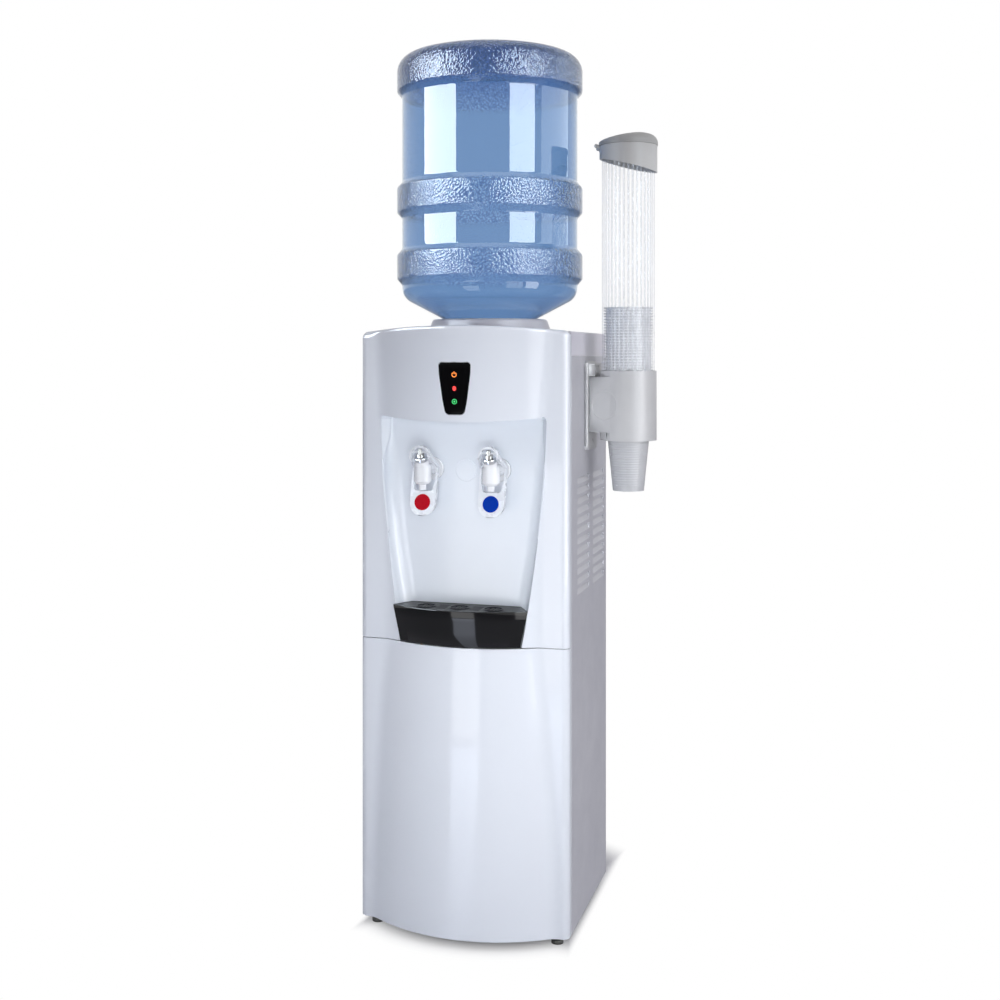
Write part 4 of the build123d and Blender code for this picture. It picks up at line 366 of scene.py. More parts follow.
def blue_polycarbonate():
    """Blown bottle: clear blue plastic. Its end is painted darker, partly for its thicker plastic and partly
    as painted shade.

    Its bands and end are pebbled. Each pebble, drawn wide enough to show, has a painted highlight in its
    middle and painted shade at its edge, where the light it gathers would show."""
    material, tree, shader, where = finish("blue_polycarbonate", BOTTLE_BLUE, Roughness=0.03, IOR=1.45)
    shader.inputs["Transmission Weight"].default_value = 1.0
    height = add(tree, "SeparateXYZ", {"Vector": where}).outputs["Z"]
    masks = []
    for low, high in PEBBLED_BANDS:
        above = add(tree, "MapRange", {"Value": height}, From_Min=low - BAND_FADE, From_Max=low + BAND_FADE)
        below = add(tree, "MapRange", {"Value": height}, From_Min=high + BAND_FADE, From_Max=high - BAND_FADE)
        both = {0: above.outputs["Result"], 1: below.outputs["Result"]}
        masks.append(add(tree, "Math", both, operation="MULTIPLY").outputs[0])
    bands = add(tree, "Math", {0: masks[0], 1: masks[1]}, operation="MAXIMUM").outputs[0]
    pebbled = add(tree, "Math", {0: bands, 1: masks[2]}, operation="MAXIMUM").outputs[0]
    pebble = add(tree, "TexVoronoi", {"Vector": where}, feature="F1", Scale=1000 / PEBBLE)
    # Painted highlight and painted shade: each pebble's middle is painted pale and its edge dark
    painted_pebble_light = add(tree, "ValToRGB", {"Fac": pebble.outputs["Distance"]})
    pale, dark = painted_pebble_light.color_ramp.elements
    pale.position, dark.position = 0.1, 0.65
    pale.color, dark.color = linear("#e6f1fc"), linear("#7c9dc8")
    skin = add(tree, "MixRGB", {"Fac": pebbled, "Color2": painted_pebble_light.outputs["Color"]}, Color1=linear(BOTTLE_BLUE))
    # Painted shade, and thicker plastic as well: the bottle's end is painted darker and bluer towards its top
    end = add(tree, "MapRange", {"Value": height}, From_Min=1.2, From_Max=1.245, To_Max=0.8)
    painted_end_shade = add(tree, "MixRGB", {"Fac": end.outputs["Result"], "Color1": skin.outputs["Color"]},
                blend_type="MULTIPLY", Color2=linear("#a4bfde"))
    tree.links.new(painted_end_shade.outputs["Color"], shader.inputs["Base Color"])
    ripple = add(tree, "TexNoise", {"Vector": where}, Scale=1000 / BOTTLE_RIPPLE, Detail=1.0)
    faint = add(tree, "Math", {0: ripple.outputs["Fac"], 1: 0.045}, operation="MULTIPLY")
    relief = add(tree, "Math", {0: pebble.outputs["Distance"], 1: pebbled, 2: faint.outputs[0]},
                 operation="MULTIPLY_ADD")
    bump = add(tree, "Bump", {"Height": relief.outputs[0]}, Distance=0.0011, Strength=0.8, invert=True)
    tree.links.new(bump.outputs["Normal"], shader.inputs["Normal"])
    return material


def clear_plastic(name, colour, rough, transmission, grain):
    """Clear or milky moulded plastic with a faint flow pattern."""
    material, tree, shader, where = finish(name, colour, IOR=1.49)
    shader.inputs["Transmission Weight"].default_value = transmission
    vary_gloss(tree, shader, where, rough * 0.7, rough * 1.4, grain)
    return material


def clear_tube():
    """Thin clear tube: nearly all light goes straight through, and its ribs show as pale bluish stripes."""
    material, tree, shader, where = finish("clear_styrene", "#eef2fa", IOR=1.5)
    vary_gloss(tree, shader, where, 0.08, 0.14, grain=30.0)
    axis = place(TUBE_X, CUP_V, 0)
    from_axis = add(tree, "Mapping", {"Vector": where}, Location=(-axis[0], -axis[1], 0))
    spot = add(tree, "SeparateXYZ", {"Vector": from_axis.outputs["Vector"]}).outputs
    turn = add(tree, "Math", {0: spot["Y"], 1: spot["X"]}, operation="ARCTAN2")
    phase = add(tree, "Math", {0: turn.outputs[0], 1: float(TUBE_RIBS)}, operation="MULTIPLY")
    wave = add(tree, "Math", {0: phase.outputs[0]}, operation="COSINE")
    cover = add(tree, "MapRange", {"Value": wave.outputs[0]}, From_Min=-0.5, To_Min=0.015, To_Max=0.2)
    tree.links.new(cover.outputs["Result"], shader.inputs["Alpha"])
    return material


stem_steel = threaded_steel()
bottle_pc = blue_polycarbonate()
tube_ps = clear_tube()
lever_pc = clear_plastic("milky_polycarbonate", "#eceff4", rough=0.25, transmission=0.06, grain=14.0)
# Painted shade: the pulled cup is the stacked cups' milky polypropylene painted darker
shaded_cup_pp = clear_plastic("milky_polypropylene_shaded_cup", "#d6d7da", rough=0.2, transmission=0.2, grain=12.0)
cup_pp = clear_plastic("milky_polypropylene", "#f1f2f4", rough=0.2, transmission=0.12, grain=12.0)


def lamp_window(name, colour, strength):
    """Small light behind the indicator window: its colour glows."""
    material, tree, shader, where = finish(name, colour)
    vary_gloss(tree, shader, where, 0.35, 0.5, grain=2.0)
    shader.inputs["Emission Color"].default_value = linear(colour)
    shader.inputs["Emission Strength"].default_value = strength
    return material


# Moulded front


def ease(share):
    """Share from 0 to 1 that starts and ends slowly."""
    return share * share * (3 - 2 * share)


def through(heights, values, z):
    """Smooth curve through three values at three heights (a parabola)."""
    return np.polyval(np.polyfit(heights, values, 2), z)


def front_depth(x, radius):
    """Depth of the front's skin: the nearer of the flat wings and the bow, blended where they cross."""
    bow = BOW_AXIS_V - np.sqrt(np.maximum(radius ** 2 - x ** 2, 1.0))
    share = np.clip(0.5 + 0.5 * (bow + WING_REACH) / WING_BLEND, 0, 1)
    return bow * (1 - share) - WING_REACH * share - WING_BLEND * share * (1 - share)


def upper_skin(x, z):
    """Depth of the upper panel's skin."""
    return front_depth(x, through(UPPER_HEIGHTS, UPPER_RADII, z))


half = WIDTH / 2
wing_x = half - CORNER_R
turn_in = np.linspace(0, pi / 2, 9)
side_x = np.concatenate([[half, half], wing_x + CORNER_R * np.cos(turn_in)])
side_v = np.concatenate([[RETURN, RETURN / 2], -CORNER_R * np.sin(turn_in) - (WING_REACH - CORNER_R)])

z = np.linspace(FOOT_GAP, SEAM_Z - SEAM_GAP / 2, 90)[:, None]
x = np.linspace(wing_x, -wing_x, 190)[1:-1]
face_v = front_depth(x, through(LOWER_HEIGHTS, LOWER_RADII, z))
plan_x = np.concatenate([side_x, x, -side_x[::-1]]) + 0 * z
plan_v = np.concatenate([side_v + 0 * z, face_v, side_v[::-1] + 0 * z], axis=1)
lower_mesh = grid_mesh("lower_front", place(plan_x, plan_v, z), outward=FORWARD)
lower_panel = new_piece("lower_front", lower_mesh, front_abs, "lower_front_panel")
thicken(lower_panel, PANEL_WALL)
soften(lower_panel, LOWER_EDGE)

# The niche's mouth at the reference depth, from its foot up its right side and down its left side
side_z = np.linspace(SEAM_Z + SEAM_GAP / 2, NICHE_HEIGHTS[2] - NICHE_CORNER - MOUTH_SETBACK[1], 70)
side_half = through(NICHE_HEIGHTS, NICHE_HALVES, side_z)
arc = np.linspace(0, pi / 2, 42)[1:-1]
top_half = NICHE_HALVES[2] - NICHE_CORNER - MOUTH_SETBACK[0]
top_edge = NICHE_HEIGHTS[2] - NICHE_DIP * (1 - (top_half / NICHE_HALVES[2]) ** 2)
corner_x = top_half + NICHE_CORNER * np.cos(arc)
corner_z = side_z[-1] + (top_edge - side_z[-1]) * np.sin(arc)
top_x = np.linspace(top_half, -top_half, 90)
top_z = NICHE_HEIGHTS[2] - NICHE_DIP * (1 - (top_x / NICHE_HALVES[2]) ** 2)
mouth_x = np.concatenate([side_half, corner_x, top_x, -corner_x[::-1], -side_half[::-1]])
mouth_z = np.concatenate([side_z, corner_z, top_z, corner_z[::-1], side_z[::-1]])
mouth_half = through(NICHE_HEIGHTS, NICHE_HALVES, mouth_z)


def mouth_at(depth):
    """The niche's outline spread by its flare at a depth."""
    return mouth_x * (1 + NICHE_FLARE * (NICHE_REF_V - depth) / mouth_half)


# A few rounds bring the mouth onto the panel's skin
mouth_v = np.full_like(mouth_x, -30.0)
for _ in range(12):
    mouth_v = upper_skin(mouth_at(mouth_v), mouth_z)

# The panel's outer line with its outward direction, matched point by point to the mouth
# Columns run level at the sides, fan out from the mouth's corners and stand nearly upright above its top
edge_z = np.linspace(SEAM_Z + SEAM_GAP / 2, FAN_Z, len(side_z))
fan_z = np.linspace(FAN_Z, TOP_Z - CORNER_R + 1, 17)[1:]
edge_turn = np.linspace(0, pi / 2, 12)[1:-1]
fan_x = np.linspace(wing_x, FAN_X, 15)[:-1]
crown_x = np.linspace(FAN_X, -FAN_X, len(top_x))


def crown_at(x):
    """Height of the panel's crowned top edge."""
    return TOP_Z + CROWN * (1 - (x / half) ** 2)


upright = np.concatenate([edge_z, fan_z])
flank_x = np.concatenate([half + 0 * upright, wing_x + CORNER_R * np.cos(edge_turn), fan_x])
flank_z = np.concatenate([upright, fan_z[-1] + CORNER_R * np.sin(edge_turn), crown_at(fan_x)])
flank_out_x = np.concatenate([1 + 0 * upright, np.cos(edge_turn), 0 * fan_x])
flank_out_z = np.concatenate([0 * upright, np.sin(edge_turn), 1 + 0 * fan_x])
# The rolled edge narrows along the crown, so that all columns of a corner start from one point
narrowing = ease(np.linspace(0, 1, len(fan_x)))
flank_roll = np.concatenate([CORNER_R + 0 * upright, CORNER_R + 0 * edge_turn,
                             CORNER_R - (CORNER_R - CROWN_ROLL) * narrowing])
rim_x = np.concatenate([flank_x, crown_x, -flank_x[::-1]])
rim_z = np.concatenate([flank_z, crown_at(crown_x), flank_z[::-1]])
out_x = np.concatenate([flank_out_x, 0 * crown_x, -flank_out_x[::-1]])
out_z = np.concatenate([flank_out_z, 1 + 0 * crown_x, flank_out_z[::-1]])
roll = np.concatenate([flank_roll, CROWN_ROLL + 0 * crown_x, flank_roll[::-1]])
start_x, start_z = rim_x - out_x * roll, rim_z - out_z * roll
across = np.linspace(0, 1, 40)[:, None]
skin_x = (1 - across) * mouth_at(mouth_v) + across * start_x
skin_z = (1 - across) * mouth_z + across * start_z
skin_v = upper_skin(skin_x, skin_z)
bend = np.linspace(0, pi / 2, 9)[1:, None]
roll_x, roll_z = start_x + out_x * roll * np.sin(bend), start_z + out_z * roll * np.sin(bend)
roll_v = skin_v[-1] + roll * (1 - np.cos(bend))
back_x, back_z = np.repeat(roll_x[-1:], 2, axis=0), np.repeat(roll_z[-1:], 2, axis=0)
back_v = np.array([[0.5], [1.0]]) * (RETURN - roll_v[-1:]) + roll_v[-1:]
panel_points = place(np.vstack([skin_x, roll_x, back_x]), np.vstack([skin_v, roll_v, back_v]),
                     np.vstack([skin_z, roll_z, back_z]))
upper_mesh = grid_mesh("upper_front", panel_points, outward=FORWARD)
upper_panel = new_piece("upper_front", upper_mesh, front_abs, "upper_front_panel")
thicken(upper_panel, PANEL_WALL)
soften(upper_panel, UPPER_EDGE)

# The niche runs back from the panel's edge and turns into its back wall, most tightly at the top
near_top = np.clip((mouth_z - side_z[-1] + ROUND_START) / ROUND_SPAN, 0, 1)
round_r = NICHE_ROUND - (NICHE_ROUND - NICHE_TOP_ROUND) * ease(near_top)
run = np.linspace(0, 1, 14)[:, None]
wall_v = (mouth_v + PANEL_LAP) * (1 - run) + (NICHE_BACK_V - round_r) * run
wall_x, wall_z = mouth_at(wall_v), mouth_z + 0 * run
climb = len(side_z) + len(arc)
over = slice(climb, climb + len(top_x))
right_turn, left_turn = slice(len(side_z), climb), slice(over.stop, over.stop + len(arc))
inward_x, inward_z = -np.sign(mouth_x), np.zeros_like(mouth_x)
inward_x[over], inward_z[over] = 0.0, -1.0
inward_x[right_turn], inward_z[right_turn] = -np.cos(arc), -np.sin(arc)
inward_x[left_turn], inward_z[left_turn] = np.cos(arc[::-1]), -np.sin(arc[::-1])
bend = np.linspace(0, pi / 2, 10)[1:, None]
turn_x = wall_x[-1] + inward_x * round_r * (1 - np.cos(bend))
turn_z = wall_z[-1] + inward_z * round_r * (1 - np.cos(bend))
turn_v = NICHE_BACK_V - round_r + round_r * np.sin(bend)
# Rows of the back wall run level from side to side and sag more and more towards the dipped top
row_x, row_z = turn_x[-1, :climb, None], turn_z[-1, :climb, None]
dip_x, dip_z = turn_x[-1, over], turn_z[-1, over]
rise = (row_z - row_z[0]) / (row_z[-1] - row_z[0])
level_x, level_z = row_x * np.linspace(1, -1, len(top_x)), row_z - rise ** 6 * (dip_z[0] - dip_z)
back_wall = place(np.vstack([level_x, dip_x]), NICHE_BACK_V, np.vstack([level_z, dip_z]))
niche_sides = place(np.vstack([wall_x, turn_x]), np.vstack([wall_v, turn_v]), np.vstack([wall_z, turn_z]))
niche_mesh = grid_mesh("niche_liner", niche_sides, back_wall, outward=FORWARD)
niche = new_piece("niche_liner", niche_mesh, niche_abs, "tap_niche")
thicken(niche, NICHE_WALL)

# Indicator window: a shield that follows the bow, with a rolled edge and three small lights
lens_corners = [(0, 803, 0), (23.2, 803, 5), (22.4, 786, 30), (17.6, 751, 30), (13.5, 731, 7), (0, 731, 0)]
lens_line = rounded(lens_corners, 8)
outline_x, outline_z = np.concatenate([lens_line, (lens_line * [-1, 1])[::-1][1:-1]]).T
ring = np.concatenate([np.linspace(0, 0.965, 12), [0.985, 0.996, 1.0, 1.0]])[:, None]
drop = np.concatenate([np.zeros(12), [0.15, 0.45, 0.9, 2.0]])[:, None]
lens_x, lens_z = outline_x * ring, LENS_MIDDLE_Z + (outline_z - LENS_MIDDLE_Z) * ring
lens_v = upper_skin(lens_x, lens_z) - LENS_PROUD + drop
lens_mesh = grid_mesh("indicator_window", place(lens_x, lens_v, lens_z), around=True, outward=FORWARD)
new_piece("indicator_window", lens_mesh, window_abs, "indicator_lens")
seal_spread, seal_drop = np.array([[1.0], [1.012], [1.02]]), np.array([[0.2], [-0.25], [0.1]])
seal_x, seal_z = outline_x * seal_spread, SEAL_MIDDLE_Z + (outline_z - SEAL_MIDDLE_Z) * seal_spread
seal_v = upper_skin(seal_x, seal_z) + seal_drop
seal_mesh = grid_mesh("window_seal", place(seal_x, seal_v, seal_z), around=True, outward=FORWARD)
new_piece("window_seal", seal_mesh, grille_abs, body="cabinet")


def light_ring(name, height, inner, outer, gap, material):
    """Flat ring on the window between two radii, open by gap radians at its top."""
    angle = np.linspace(pi / 2 + gap / 2, 2.5 * pi - gap / 2, 49)
    radius = np.array([[inner], [outer]])
    ring_x, ring_z = radius * np.cos(angle), height + radius * np.sin(angle)
    ring_v = upper_skin(ring_x, ring_z) - LIGHT_PROUD
    mesh = grid_mesh(name, place(ring_x, ring_v, ring_z), outward=FORWARD)
    new_piece(name, mesh, material, body="cabinet")


def light_bar(name, height, width, length, material):
    """Upright bar with round ends on the window."""
    angle = np.linspace(0, 2 * pi, 32, endpoint=False)
    spoke = np.array([[0.0], [1.0]])
    tip_z = width / 2 * np.sin(angle) + np.sign(np.sin(angle)) * (length - width) / 2
    bar_x, bar_z = spoke * width / 2 * np.cos(angle), height + spoke * tip_z
    bar_v = upper_skin(bar_x, bar_z) - LIGHT_PROUD
    mesh = grid_mesh(name, place(bar_x, bar_v, bar_z), around=True, outward=FORWARD)
    new_piece(name, mesh, material, body="cabinet")


amber = lamp_window("amber_light", "#ff8a1c", 0.9)
red_light = lamp_window("red_light", "#e8261c", 0.8)
green_light = lamp_window("green_light", "#22c060", 0.8)
light_ring("amber_ring", height=786, inner=2.6, outer=3.6, gap=1.1, material=amber)
light_bar("amber_bar", height=788.6, width=1.1, length=4.0, material=amber)
light_bar("red_light_dot", height=767, width=5.0, length=6.4, material=red_light)
light_ring("green_ring", height=749, inner=2.7, outer=3.6, gap=0.0, material=green_light)
light_bar("green_dot", height=749, width=2.4, length=2.6, material=green_light)

# Drip tray: its outer wall leans out, its rim is rolled and the basin lies under a ledge for the grille


def tray_plan(z, inset):
    """Plan of the tray at a height: bowed front, sides that follow the niche's flare and a straight back."""
    share = (z - TRAY_LOW_Z) / (TRAY_TOP_Z - TRAY_LOW_Z)
    outer_half = TRAY_HALVES[0] + share * (TRAY_HALVES[1] - TRAY_HALVES[0])
    reach = TRAY_REACHES[0] + share * (TRAY_REACHES[1] - TRAY_REACHES[0])
    corner_v, rear_v = inset - TRAY_CORNER_REACH, NICHE_BACK_V - TRAY_BACK_GAP - inset
    front_half = outer_half - NICHE_FLARE * (corner_v - NICHE_REF_V) - inset
    rear_half = outer_half - NICHE_FLARE * (rear_v - NICHE_REF_V) - inset
    sag = corner_v - (inset - reach)
    radius = (front_half ** 2 + sag ** 2) / (2 * sag)
    front_x = np.linspace(-front_half, front_half, 81)
    front_v = inset - reach + radius - np.sqrt(radius ** 2 - front_x ** 2)
    side = np.linspace(0, 1, 12)[1:-1]
    rear_x = np.linspace(rear_half, -rear_half, 61)
    plan_x = np.concatenate([front_x, front_half + (rear_half - front_half) * side, rear_x,
                             -rear_half + (rear_half - front_half) * side])
    plan_v = np.concatenate([front_v, corner_v + (rear_v - corner_v) * side, rear_v + 0 * rear_x,
                             rear_v + (corner_v - rear_v) * side])
    return plan_x, plan_v


# Height and inset of each row, from under the floor up the outside, over the rim and down into the basin
rows = [(TRAY_LOW_Z + 0.4, 30.0), (TRAY_LOW_Z + 0.4, 3.0), (TRAY_LOW_Z, 0.8), (TRAY_LOW_Z + 0.8, 0.0),
        (430.0, 0.0), (447.0, 0.0), (TRAY_TOP_Z - 1.0, 0.0), (TRAY_TOP_Z - 0.3, 0.3), (TRAY_TOP_Z, 1.0),
        (TRAY_TOP_Z, 1.7), (TRAY_TOP_Z - 0.5, 2.4), (TRAY_LEDGE_Z, 2.4), (TRAY_LEDGE_Z, 5.9), (430.0, 5.9),
        (416.0, 6.2), (TRAY_BASIN_Z, 8.0), (TRAY_BASIN_Z, 30.0)]
plans = [tray_plan(z, inset) for z, inset in rows]
tray_x, tray_v = np.array([plan[0] for plan in plans]), np.array([plan[1] for plan in plans])
tray_z = np.array([[z] for z, _ in rows]) + 0 * tray_x
# Behind the bow the tray's underside clears the niche's floor
bow_back = BOW_AXIS_V - np.sqrt(LOWER_RADII[2] ** 2 - tray_x ** 2) + PANEL_WALL - FIT
clear_z = NICHE_FLOOR_Z + FIT
tray_z = np.where((tray_v > bow_back) & (tray_z < clear_z), clear_z, tray_z)
tray_mesh = grid_mesh("tray_shell", place(tray_x, tray_v, tray_z), around=True, sharp=50)
new_piece("tray_shell", tray_mesh, black_abs, "drip_tray")

# Bottle and collar, as lines of (radius, height, rounding) corners
bottle_line = rounded([
    (0, 1244, 0), (60, 1245.5, 60), (90, 1258, 14), (138.5, 1258, 24), (138.5, 1205, 6), (131, 1196, 6),
    (131, 1070, 6), (138.5, 1061, 6), (138.5, 1025, 6), (131, 1016, 6), (131, 971, 6), (138.5, 962, 6),
    (138.5, 926, 6), (131, 917, 6), (131, 899.3, 24), (35.5, 848.9, 8), (27.5, 840.9, 6), (27.5, 792, 0)], 8)
bottle_mesh = turned_mesh("bottle_blown", bottle_line, 0, BOTTLE_V, 192, sharp=80)
bottle = new_piece("bottle_blown", bottle_mesh, bottle_pc, "bottle")
thicken(bottle, BOTTLE_WALL)

collar_line = rounded([
    (76, 846.2, 0), (92, 846.2, 0), (91, 850, 3), (86, 864, 3), (84, 866, 1.5), (69.5, 866, 1.5),
    (46, 854.1, 4), (34, 839, 4), (34, 779, 1), (26.5, 779, 0)], 5)
collar_mesh = turned_mesh("collar_moulding", collar_line, 0, BOTTLE_V, 144)
collar = new_piece("collar_moulding", collar_mesh, collar_abs, "bottle_collar")
thicken(collar, COLLAR_WALL)

# Cup dispenser: ribbed tube, stack of cups and the lowest cup with fine rings


def ribbed_tube():
    """Clear tube: half-round ribs stand on its outside, and its bore is plain."""
    angle = np.linspace(0, 2 * pi, TUBE_RIBS * 12, endpoint=False)
    phase = (angle * TUBE_RIBS / (2 * pi) + 0.5) % 1 - 0.5
    reach = TUBE_R * phase * 2 * pi / TUBE_RIBS
    rib = np.sqrt(np.maximum(RIB_R ** 2 - reach ** 2, 0))
    bore = TUBE_BORE_R + 0 * angle
    radius = np.stack([bore, TUBE_R + rib, TUBE_R + rib, bore, bore])
    height = np.array([TUBE_LOW_Z, TUBE_LOW_Z, TUBE_TOP_Z, TUBE_TOP_Z, TUBE_LOW_Z])[:, None]
    return place(TUBE_X + radius * np.cos(angle), CUP_V + radius * np.sin(angle), height + 0 * angle)


tube_mesh = grid_mesh("tube_ribbed", ribbed_tube(), around=True, sharp=60)
new_piece("tube_ribbed", tube_mesh, tube_ps, "cup_tube")


def cup_taper(lift, inset):
    """A cup's tapered wall with its fine rings, from its foot to its stacking step."""
    rise = np.linspace(0, 1, 110)
    rings = RING_RISE * np.sin(rise * 2 * pi * CUP_RINGS) * np.clip(6 * rise * (1 - rise), 0, 1)
    radius = CUP_LOW_R + TAPER_SPREAD * rise - inset + rings
    return np.stack([radius, CUP_LOW_Z + lift + TAPER_RISE * rise], axis=1)


foot_line = [[0, CUP_LOW_Z + 1.5], [18, CUP_LOW_Z + 1.5], [20, CUP_LOW_Z], [21.8, CUP_LOW_Z]]
rim_line = [[32.7, 697.5], [33.9, 712.2], [35.3, 712.6], [35.5, 713.3], [35.3, CUP_RIM_Z], [33.4, CUP_RIM_Z]]
inner_rim, inner_foot = [[33.1, 713], [31.9, 698.2]], [[0, CUP_LOW_Z + 2.3]]
cup_outline = np.concatenate([foot_line, cup_taper(0, 0), rim_line,
                              inner_rim, cup_taper(0.8, 0.7)[::-1], inner_foot])
cup_mesh = turned_mesh("pulled_cup", cup_outline, TUBE_X, CUP_V, 128, sharp=60)
new_piece("pulled_cup", cup_mesh, shaded_cup_pp, "lowest_cup")

tooth = np.array([[32.5, -1.5], [35.2, -1.5], [35.5, -1.0], [35.5, -0.4], [35.2, 0.0], [32.5, 0.0]])
teeth = np.concatenate([tooth + [0, CUP_RIM_Z + cup * CUP_PITCH] for cup in range(1, STACKED_CUPS + 1)])
stack_top = CUP_RIM_Z + STACKED_CUPS * CUP_PITCH
stack_out = np.array([[0, 621.1], [21.4, 621.1], [29.2, 699.1], [31.6, 701.6]])
stack_in = np.array([[31.7, stack_top], [30.6, stack_top - 16.5], [29.4, stack_top - 19],
                     [21.7, stack_top - 95], [0, stack_top - 95]])
stack_outline = np.concatenate([stack_out, teeth, stack_in])
stack_mesh = turned_mesh("nested_cups", stack_outline, TUBE_X, CUP_V, 96, sharp=45)
new_piece("nested_cups", stack_mesh, cup_pp, "cup_stack")

# Taps: a threaded ferrule on each stem


def ferrule_grid(x):
    """Ferrule round a leaning stem: a tube along its axis whose outside swells in and out once per pitch."""
    climb = np.linspace(FERRULE_RUN[0], FERRULE_RUN[1], 66)
    thread = FERRULE_R + THREAD_RISE * np.sin(2 * pi * climb / THREAD_PITCH)
    bore, neck = STEM_R + FERRULE_FIT, FERRULE_NECK_R
    reach = np.concatenate([[bore, neck], thread, [neck, bore, bore]])[:, None]
    run = np.concatenate([[climb[0]] * 2, climb, [climb[-1] + 0.4] * 2, [climb[0]]])[:, None]
    angle, tilt = np.linspace(0, 2 * pi, 48, endpoint=False), radians(TAP_TILT)
    side, ahead = reach * np.cos(angle), reach * np.sin(angle)
    v = TAP_V - run * sin(tilt) + ahead * cos(tilt)
    z = TAP_Z + run * cos(tilt) + ahead * sin(tilt)
    return place(x + side, v, z)


# Solids that keep their shape: curved ones as smoothly shaded copies, flat ones as they are
for side, badge in (("hot", red_abs), ("cold", blue_abs)):
    smooth_copy(f"{side}_tap_body", tap_abs)
    smooth_copy(f"{side}_tap_bonnet", chrome)
    stem = smooth_copy(f"{side}_tap_stem", stem_steel)
    stem.data.materials.append(pin_nylon)
    middle = np.zeros(3 * len(stem.data.polygons))
    stem.data.polygons.foreach_get("center", middle)
    tap_x = TAP_X if side == "cold" else -TAP_X
    off_axis = np.abs(1000 * middle[::3] - CENTRE_X - tap_x)
    stem.data.polygons.foreach_set("material_index", (off_axis > STEM_R + PIN_START).astype(np.int32))
    ferrule_mesh = grid_mesh(f"{side}_stem_ferrule", ferrule_grid(tap_x), around=True)
    new_piece(f"{side}_stem_ferrule", ferrule_mesh, ferrule_steel, body=body_of[f"{side}_tap_stem"])
    spring, lean = smooth_copy(f"{side}_tap_spring", zinc_steel), radians(TAP_TILT)
    held = place(tap_x, TAP_V - SPRING_RUN[1] * sin(lean), TAP_Z + SPRING_RUN[1] * cos(lean))
    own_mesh(spring)
    smooth_copy(f"{side}_tap_lever", lever_pc)
    smooth_copy(f"{side}_tap_badge", badge)
    paint(f"{side}_tap_nut", tap_abs)
for node in ("cup_bracket", "cup_holder", "cup_retainer"):
    smooth_copy(node, holder_abs)
smooth_copy("cup_cap_ring", cap_abs)
smooth_copy("cup_lid", lid_abs)
curved = {
    "niche_plug": niche_abs, "bottle_probe": collar_abs, "bottle_cap": cap_pe, "front_left_foot": stud_steel,
    "front_right_foot": stud_steel, "rear_feet": foot_rubber, "compressor": black_enamel,
    "compressor_grommets": foot_rubber, "condenser_tube": black_enamel, "condenser_wires": black_enamel,
    "refrigerant_pipes": copper, "water_hoses": hose_silicone, "drain_cap": foot_rubber,
    "mains_inlet": foot_rubber, "cold_tank": tank_steel, "hot_tank": tank_steel, "heater_band": tank_steel,
    "evaporator": copper, "cold_insulation": foam, "panel_screws": zinc_steel, "drip_grille": grille_abs,
    "top_cover": skirt_abs}
for node, material in curved.items():
    smooth_copy(node, material)
flat = {
    "left_side_panel": side_paint, "right_side_panel": side_paint, "rear_panel": zinc_sheet,
    "base_plate": zinc_sheet, "tank_shelf": zinc_sheet, "indicator_board": board_green,
    "switch_housing": foot_rubber, "hot_switch": red_abs, "cold_switch": green_abs}
for node, material in flat.items():
    paint(node, material)

# Studio: pale floor, soft lamps and the photograph's camera

# The floor's white sets in this much faster at the sides; its reach and drop are in metres
SIDE_FADE, FLOOR_REACH, FLOOR_DROP = 4.0, 20.0, 0.0005


